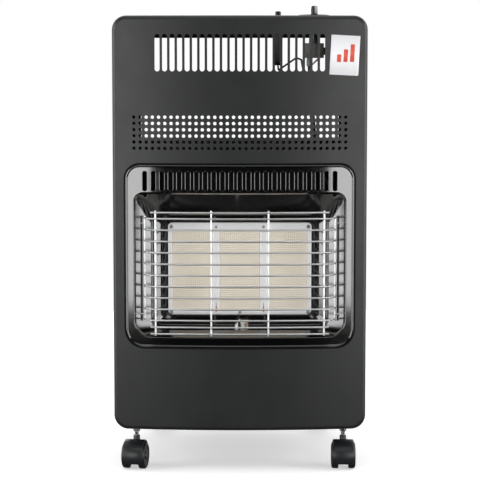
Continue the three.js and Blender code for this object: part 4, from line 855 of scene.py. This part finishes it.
# Compression nuts where the pipes leave the valve.
nuts = [put(prism(hexagon(3.9), 663, PORTS - 0.1, "z"), LINE_X, behind(depth), 0, 30)
        for depth in (*MAIN_DEPTHS, PILOT_DEPTH)]
piece("pipe_nuts", "cabinet", ZINC, merged(*nuts), bevel=0.4)


def to_pilot(start, depth, x, foot):
    """A path from its start down the side, along under the pilot group and up to a foot."""
    run = [*down(depth, PILOT_RUN), (x, behind(depth), PILOT_RUN), (x, behind(depth), foot)]
    return rounded_path([(sx, behind(sdepth), sz) for sx, sdepth, sz in start] + run, 14)


path = to_pilot([(LINE_X, PILOT_DEPTH, PORTS)], PILOT_DEPTH, PILOT_X, 213.7)
tube("pilot_pipe_tube", "cabinet", DARK_STEEL, path, 2, ["pilot_pipe"])
start = [(IGNITER_X, CONTROL_DEPTH, 663.7), (IGNITER_X, CONTROL_DEPTH, 652), (84, SPARK_DEPTH, 690),
         (LINE_X, SPARK_DEPTH, 684)]
path = to_pilot(start, SPARK_DEPTH, SPARK_X, 215.7)
tube("ignition_lead_sleeve", "cabinet", RUBBER, path, 1.5, ["ignition_lead"])
start = [(PROBE_PORT_X, PROBE_DEPTH, PORTS), (PROBE_PORT_X, PROBE_DEPTH, 660), (LINE_X, PROBE_DEPTH, 630)]
path = to_pilot(start, PROBE_DEPTH, PROBE_X, 213.7)
tube("thermocouple_lead_copper", "cabinet", COPPER, path, 1.5, ["thermocouple_lead"])

# ---- Burner surround ----
# One deep pressing in 1 mm steel, coated in black vitreous enamel: a raised bead, a flat band with 23
# air slots whose edges are turned in, a rounded lip and a tapered recess round the burner.
SURROUND = Rect(0, 186, 208, 507.5, 25, 31)
MOUTH = Rect(0, 170, 227, 460, 15, 27)
FLARE = Rect(0, 143, 233, 423, 15, 19)
RECESS = Rect(0, 140, 236, 420, 12, 16)
FLARE_DEPTH, RECESS_DEPTH = 32, 65
SURROUND_SLOTS, SURROUND_SLOT_PITCH = 23, 13.9

# Enamel fused on steel: a deep black gloss, wavy over about 14 mm, that mirrors the side lights.
ENAMEL, tree, shader = coating("black_vitreous_enamel", "black_enamel", "#040405", 0.09, 0.0, **{
    "IOR": 1.72, "Coat Weight": 1.0, "Coat Roughness": 0.07, "Coat IOR": 1.58})
grain(tree, shader, 14, 0.1, 0.2, 1.0)


def burner_surround():
    face = -2  # the band stands this far in front of the panel's line
    bead = ((5.5, 2.15), (5.1, 2.6), (4.7, 3.4), (4.3, 3.9), (3.8, 4.2), (3.2, 4.1), (2.6, 3.6), (2.0, 2.7),
            (1.5, 1.6), (1.1, 0.5), (0.8, -0.6), (0.7, -1.2))
    outside = [(grown(SURROUND, -inset), -height, 1) for inset, height in bead]
    lip = [(grown(MOUTH, 2.4 - 2.55 * sin(t)), face + 2.55 * (1 - cos(t)), 1)
           for t in [radians(10 * i) for i in range(1, 8)]]
    lip += [(grown(MOUTH, -1.4), face + 5.0, 1), (grown(MOUTH, -2.2), face + 6.2, 1)]
    bend = [(grown(FLARE, 1.9), FLARE_DEPTH - 1.6, 0), (grown(FLARE, 0.5), FLARE_DEPTH - 0.1, 0),
            (grown(FLARE, -0.24), FLARE_DEPTH + 2.5, 0), (grown(RECESS, 0.3), RECESS_DEPTH - 4, 0),
            (grown(RECESS, -0.6), RECESS_DEPTH - 1.2, 0), (grown(RECESS, -3), RECESS_DEPTH, 0)]
    opening = Rect(0, 114, PLAQUE_Z - 68.3, PLAQUE_Z + 68.3, 2, 2)
    inside = lip + bend + [(opening, RECESS_DEPTH, 0)]
    edges = {0: outside, 1: inside}
    slots = []
    for i in range(SURROUND_SLOTS):
        x = (i - (SURROUND_SLOTS - 1) / 2) * SURROUND_SLOT_PITCH
        slots.append(Rect(x, 4.5, 462.9, 496.1, 4.5, 4.5))
        edges[i + 2] = [(grown(slots[-1], -0.2), face - 0.3, 1), (grown(slots[-1], -0.5), face - 0.4, 1),
                        (grown(slots[-1], -0.9), face - 0.1, 1), (grown(slots[-1], -1.1), face + 0.6, 1),
                        (grown(slots[-1], -1.1), face + 2.2, 1)]
    columns = [(i - 18) * 9.9 for i in range(37)]
    return pressing(grown(SURROUND, -6), [grown(MOUTH, 2.4), *slots], columns, face, edges, 1, 12)


def bow_normals(made):
    """Settles a bowed sheet, and shades its face by the bow's own curve, not by its long thin facets."""
    settle(made)
    mesh = made.data
    normals = [Vector(n.vector) for n in mesh.corner_normals]
    exact = []
    for v in mesh.vertices:
        out = Vector((v.co.x, -sqrt(max((BOW_RADIUS * MM) ** 2 - v.co.x ** 2, 0)), 0))
        exact.append(out.normalized())
    sheet = set()
    for face in mesh.polygons:
        if abs(face.normal.dot(exact[face.vertices[0]])) > 0.996:
            sheet.update(face.vertices)
    for face in mesh.polygons:
        for loop, v in zip(face.loop_indices, face.vertices):
            across = face.normal.dot(exact[v])
            if v in sheet and abs(across) > 0.9:
                normals[loop] = exact[v] * copysign(1, across)
    mesh.normals_split_custom_set(normals)


surround = piece("burner_surround_pressing", "cabinet", ENAMEL, burner_surround(), ["burner_surround"],
                 wall=-0.9, crease=50)
bow_normals(surround)

# ---- Wire guard ----
# 3 mm steel wires, spot-welded where they cross and chromed. The rows follow the panel's bow and turn
# back to an upright at each end, whose legs hook through the recess's sides.
WIRE = 1.5  # the wires' radius
GUARD_FRONT = -5 + WIRE
GUARD_END, GUARD_SIDE, GUARD_BACK = 144, 154.5, 20  # x where a row leaves the bow, its end's x and depth


def wire_guard():
    """Ten rows with their ends turned back, three short rows, four uprights and the parts at both sides."""
    def on_bow(x, z, back=0.0):
        return x, behind(GUARD_FRONT + bow(x) + back), z

    rows = []
    for i in range(10):
        z = 254 + (419 - 254) * i / 9
        ends = []
        for side in (-1, 1):
            corner = (side * GUARD_SIDE, behind(GUARD_BACK), z)
            turn = [on_bow(side * GUARD_END, z), on_bow(side * GUARD_SIDE, z), corner]
            ends.append(rounded_path(turn, 6.5, 6)[1:])
        middle = [on_bow(x, z) for x in range(-GUARD_END, GUARD_END + 1, 12)]
        rows.append([*reversed(ends[0]), *middle, *ends[1]])
    for z in (429, 243, 232):
        rows.append([on_bow(x, z) for x in range(-GUARD_END, GUARD_END + 1, 12)])
    uprights = [[on_bow(x, 229, 2.5), on_bow(x, 432, 2.5)] for x in (-136, -46, 46, 136)]
    for side in (-1, 1):
        x, y = side * GUARD_SIDE, behind(GUARD_BACK)
        uprights.append([(x, y, 251), (x, y, 422)])
        uprights += [[(x, y, z), (side * 164.8, y, z)] for z in (262, 410)]
    return [[Vector(p) for p in row] for row in rows + uprights]


# Nickel-chrome on drawn wire isn't polished first, so it shines softly.
WIRE_CHROME, tree, shader = coating("chromed_drawn_wire", "chrome", "#F6F7F7", 0.34, 1.0)
shade(tree, shader, "Roughness", 9, 0.30, 0.38)

tube("wire_guard_chrome", "cabinet", WIRE_CHROME, wire_guard(), WIRE, ["wire_guard"], 4)

# ---- Controls ----
# A pressed tray sunk in the top holds the gas valve, hung from a bent bracket, and the piezo igniter.
# The knob pushes down and turns on the valve's stem; the igniter's button is pushed.
TRAY_FLOOR, TRAY_RIM = 736.7, 741.4
KNOB_X = 120


def control_tray():
    bm = bmesh.new()

    def ring(grow, radius, z):
        half = WELL_HALF + grow
        line = rounded(WELL_LEFT - grow, WELL_RIGHT + grow, CONTROL_Y - half, CONTROL_Y + half, radius)
        return [(x, y, z) for x, y in line]

    rings = [ring(7, 15, TRAY_RIM), ring(-1.3, 7, TRAY_RIM), ring(-1.5, 6.8, TRAY_RIM - 0.6),
             ring(-1.7, 6.6, TRAY_FLOOR + 1.2), ring(-2.2, 6.1, TRAY_FLOOR + 0.3), ring(-3, 5.3, TRAY_FLOOR)]
    rows = loft(bm, rings)
    bm.faces.new(rows[-1])
    turned_out(bm)
    if sum(f.normal.z for f in bm.faces) < 0:
        bmesh.ops.reverse_faces(bm, faces=bm.faces)
    tray = piece("control_tray_pressing", "cabinet", POWDER, bm, ["control_tray"], wall=-SHEET)
    settle(tray)
    bores = [put(turned([(0, -4), (r, -4), (r, 4), (0, 4)], 32), x, CONTROL_Y, TRAY_FLOOR)
             for x, r in ((KNOB_X, 4.3), (IGNITER_X, 6.3))]
    carve(tray, bores)
    soft_edges(tray, 0.25)


control_tray()
dressed("gas_valve", CAST, 0.8)
dressed("valve_bracket", ZINC, 0.25)
stem = turned([(0, 696), (4, 696), (4, 754.4), (3.4, 755), (0, 755)], 32)
piece("valve_stem_bar", "valve_stem", ZINC, put(stem, KNOB_X, CONTROL_Y), ["valve_stem"])

nozzle = [(2.5, 0), (6.1, 0), (6.5, 0.5), (6.5, 5.5), (6.1, 6), (4, 8), (4, 10)]
for i in range(4):
    x = 10 + i * 5.5
    nozzle += [(5.2, x + 1.2), (5.3, x + 1.5), (4.05, x + 5.4)]
nozzle += [(3.2, 32), (2.5, 32)]
bm = turned([(r, h) for r, h in nozzle], 36, "x")
piece("hose_nozzle_barbs", "cabinet", ZINC, put(bm, 140.3, CONTROL_Y, 687), ["hose_nozzle"], crease=25)

# Moulded black ABS, lightly textured: a little glossier than the nylon of the casters.
BLACK_ABS, tree, shader = coating("moulded_black_abs", "black_plastic", "#131415", 0.3)
grain(tree, shader, 1.1, 0.2, 0.03)
# The same in pale grey, as a painted highlight on the grip's right front, where it catches the light.
ABS_PAINTED_HIGHLIGHT, tree, shader = coating("grey_abs_painted_highlight", "grey_plastic", "#A7A9AB", 0.34)
grain(tree, shader, 1.1, 0.2, 0.03)


def knob():
    """A low skirt with a raised grip bar across it."""
    skirt = turned([(4.4, 742), (25.6, 742), (26.6, 742.3), (27, 743.0), (26.6, 744.4), (25.6, 745.4), (24, 746.0),
                    (21, 746.2), (4.4, 746.2)], 96)
    bm = bmesh.new()
    rings, half, reach = [], 5.5, 23
    for inset, z in ((0, 745.8), (0.15, 755), (0.5, 757.8), (1.2, 759.1), (2.4, 759.7), (3.8, 759.8)):
        grip = rounded(-half + inset, half - inset, -reach + inset, reach - inset, 5 - inset, 8)
        rings.append([(x, y, z) for x, y in grip])
    loft(bm, rings, caps=True)
    return put(merged(skirt, turned_out(bm)), KNOB_X, CONTROL_Y)


piece("control_knob_moulding", "control_knob", BLACK_ABS, knob(), ["control_knob"], crease=50)
# A pale grey sheet on the grip's right front is a painted highlight, not a real inlay.
flank = prism(rounded(-22.4, -17, 747.5, 759.0, 0.8, 3), 0.3, 5.0, "x")
piece("control_knob_painted_highlight", "control_knob", ABS_PAINTED_HIGHLIGHT, put(flank, KNOB_X, CONTROL_Y - 0.7), bevel=0.3)

body = turned([(0, 664), (4.4, 664), (5.6, 665.2), (7, 668.5), (7, 735.4), (6, 735.4), (6, 742.4), (5.6, 743),
               (5.1, 743), (5.1, 726), (0, 726)], 36)
piece("igniter_body_moulding", "cabinet", BLACK_ABS, put(body, IGNITER_X, CONTROL_Y), ["igniter_body"])
button = turned([(0, 735), (4.7, 735), (4.7, 749.8), (4.3, 750.9), (3.3, 751.5), (0, 751.7)], 36)
piece("igniter_button_cap", "igniter_button", BLACK_ABS, put(button, IGNITER_X, CONTROL_Y), ["igniter_button"])
nut = bmesh.new()
rings = [[(x, y, z) for x, y in hexagon(r, IGNITER_X, CONTROL_Y, 30)]
         for r, z in ((6.4, 737), (9, 737), (9, 741), (6.4, 741))]
loft(nut, rings, closed_row=True)
piece("igniter_nut_moulding", "cabinet", BLACK_ABS, turned_out(nut), ["igniter_nut"], bevel=0.4)

# ---- Front panel ----
# A bowed pan pressed from 1 mm steel, powder coated: 23 warm-air slots, six rows of 35 round holes, the
# window for the burner surround, and an edge rolled back into a flange that closes over the shell.
PANEL = Rect(0, 205, 73, 744, 23, 23)
PANEL_BEND = 7
SLOTS, SLOT_PITCH, SLOT_HALF = 23, 12, 4
HOLES, HOLE_ROWS, PERFORATION_PITCH, HOLE_RADIUS, FIRST_ROW = 35, 6, 10, 2.75, 532


def front_panel():
    edge = [(grown(PANEL, -PANEL_BEND * (1 - sin(t))), PANEL_BEND * (1 - cos(t)), 1)
            for t in [pi / 2 * i / 8 for i in range(1, 9)]]
    edge.append((PANEL, 30, 0))
    seat = [(grown(SURROUND, 0.8), 0.15, 1), (grown(SURROUND, 0.4), 0.7, 1), (grown(SURROUND, 0.1), 1.4, 1),
            (grown(SURROUND, -0.6), 1.8, 1), (grown(SURROUND, -8), 1.8, 1)]
    openings = [grown(SURROUND, 1.1)]
    openings += [Rect((i - 11) * SLOT_PITCH, SLOT_HALF, 655, 714.5, SLOT_HALF, SLOT_HALF) for i in range(SLOTS)]
    for i in range(HOLES):
        for row in range(HOLE_ROWS):
            z = FIRST_ROW + row * PERFORATION_PITCH
            openings.append(Rect((i - 17) * PERFORATION_PITCH, HOLE_RADIUS, z - HOLE_RADIUS, z + HOLE_RADIUS,
                                 HOLE_RADIUS, HOLE_RADIUS))
    columns = [(i - 19.5) * 10 for i in range(40)]  # between the holes, so the sheet bends evenly
    return pressing(grown(PANEL, -PANEL_BEND), openings, columns, 0, {0: edge, 1: seat}, 1, 14, 5)


panel = piece("front_panel_pressing", "cabinet", POWDER, front_panel(), ["front_panel"], wall=-SHEET, crease=40)
bow_normals(panel)

# A plain white label beside the slots, slightly askew. It shows three rising bars for heat.
LABEL_X, LABEL_Z, LABEL_TURN = 167.8, 680.6, 3.0

# Vinyl film, calendered: even, nearly white, with a dull sheen.
LABEL, tree, shader = coating("white_vinyl_film", "grey_plastic", "#E9E9EC", 0.42)
# Red ink, screen printed: flat colour, as smooth as the film.
HEAT_RED, tree, shader = coating("printed_red_ink", "grey_plastic", "#D9563F", 0.4)


def label_sheet(x, z, width, height, turn, proud, name, material, radius=0.8):
    """A thin rectangle laid on the bowed panel."""
    bm = bmesh.new()
    outline = rounded(-width / 2, width / 2, -height / 2, height / 2, radius, 3)
    bm.faces.new([bm.verts.new((px, 0, pz)) for px, pz in outline])
    sliced(bm, [-width / 2 + width * i / 8 for i in range(1, 8)])
    c, s = cos(radians(turn)), sin(radians(turn))
    for v in bm.verts:
        px, pz = x + v.co.x * c + v.co.z * s, z - v.co.x * s + v.co.z * c
        v.co = (px, behind(bow(px) - proud), pz)
    return piece(name, "cabinet", material, bm, wall=-0.1)


label_sheet(LABEL_X, LABEL_Z, 46.4, 63.4, LABEL_TURN, 0.25, "label_film", LABEL)
for i in range(3):
    lift = 12 + 8 * i
    x, z = LABEL_X - 9.8 + 10.4 * i + 0.04 * lift, LABEL_Z - 10.6 + lift / 2
    label_sheet(x, z, 6.8, lift, LABEL_TURN, 0.3, f"label_bar_{i + 1}", HEAT_RED, 0.6)

# ---- Rear bottle cover ----
# A bent sheet with two columns of vents that closes round the gas bottle. Its wings slide down behind
# hooked rails on the shell's rear flange, so it lifts off.
FIT = 0.3  # the gap between the cover and the flange
COVER_FOOT, COVER_TOP = 74.3, 505
VENT_ROWS, VENT_PITCH = 7, 34


def rear_cover():
    seat = behind(SHELL_BACK) + FIT
    bm = bmesh.new()
    rows = []
    for inset, z in ((0, COVER_FOOT), (0, 503.6), (0.5, 504.7), (10, COVER_TOP)):
        line = bay(COVER_HALF - inset, BACK - inset, COVER_CORNER - inset, seat, 14)
        rows.append([(x, y, z) for x, y in line])
    loft(bm, rows, False)
    turned_out(bm)
    if sum(f.normal.y for f in bm.faces) < 0:
        bmesh.ops.reverse_faces(bm, faces=bm.faces)
    cover = piece("rear_cover_sheet", "rear_cover", POWDER, bm, ["rear_cover"], wall=-SHEET)
    settle(cover)
    vents = []
    for x in (-60, 60):
        for row in range(VENT_ROWS):
            z = 190 + row * VENT_PITCH
            vents.append(prism(rounded(x - 48, x + 48, z, z + 8, 2.5, 4), BACK - 4, BACK + 4, "y"))
    carve(cover, [merged(*vents)])
    soft_edges(cover, 0.3)
    for side, word in ((-1, "left"), (1, "right")):
        a, b = sorted((side * 167.2, side * 194))
        wing = prism([(a, seat), (b, seat), (b, seat + 1), (a, seat + 1)], 90, 480, "z")
        piece(f"rear_cover_wing_{word}", "rear_cover", POWDER, wing, bevel=0.3)


rear_cover()
for word in ("left", "right"):
    dressed(f"cover_rail_{word}", POWDER, 0.25)

# ---- View transform ----
# The plain view transform.
bpy.context.scene.view_settings.view_transform = "Standard"
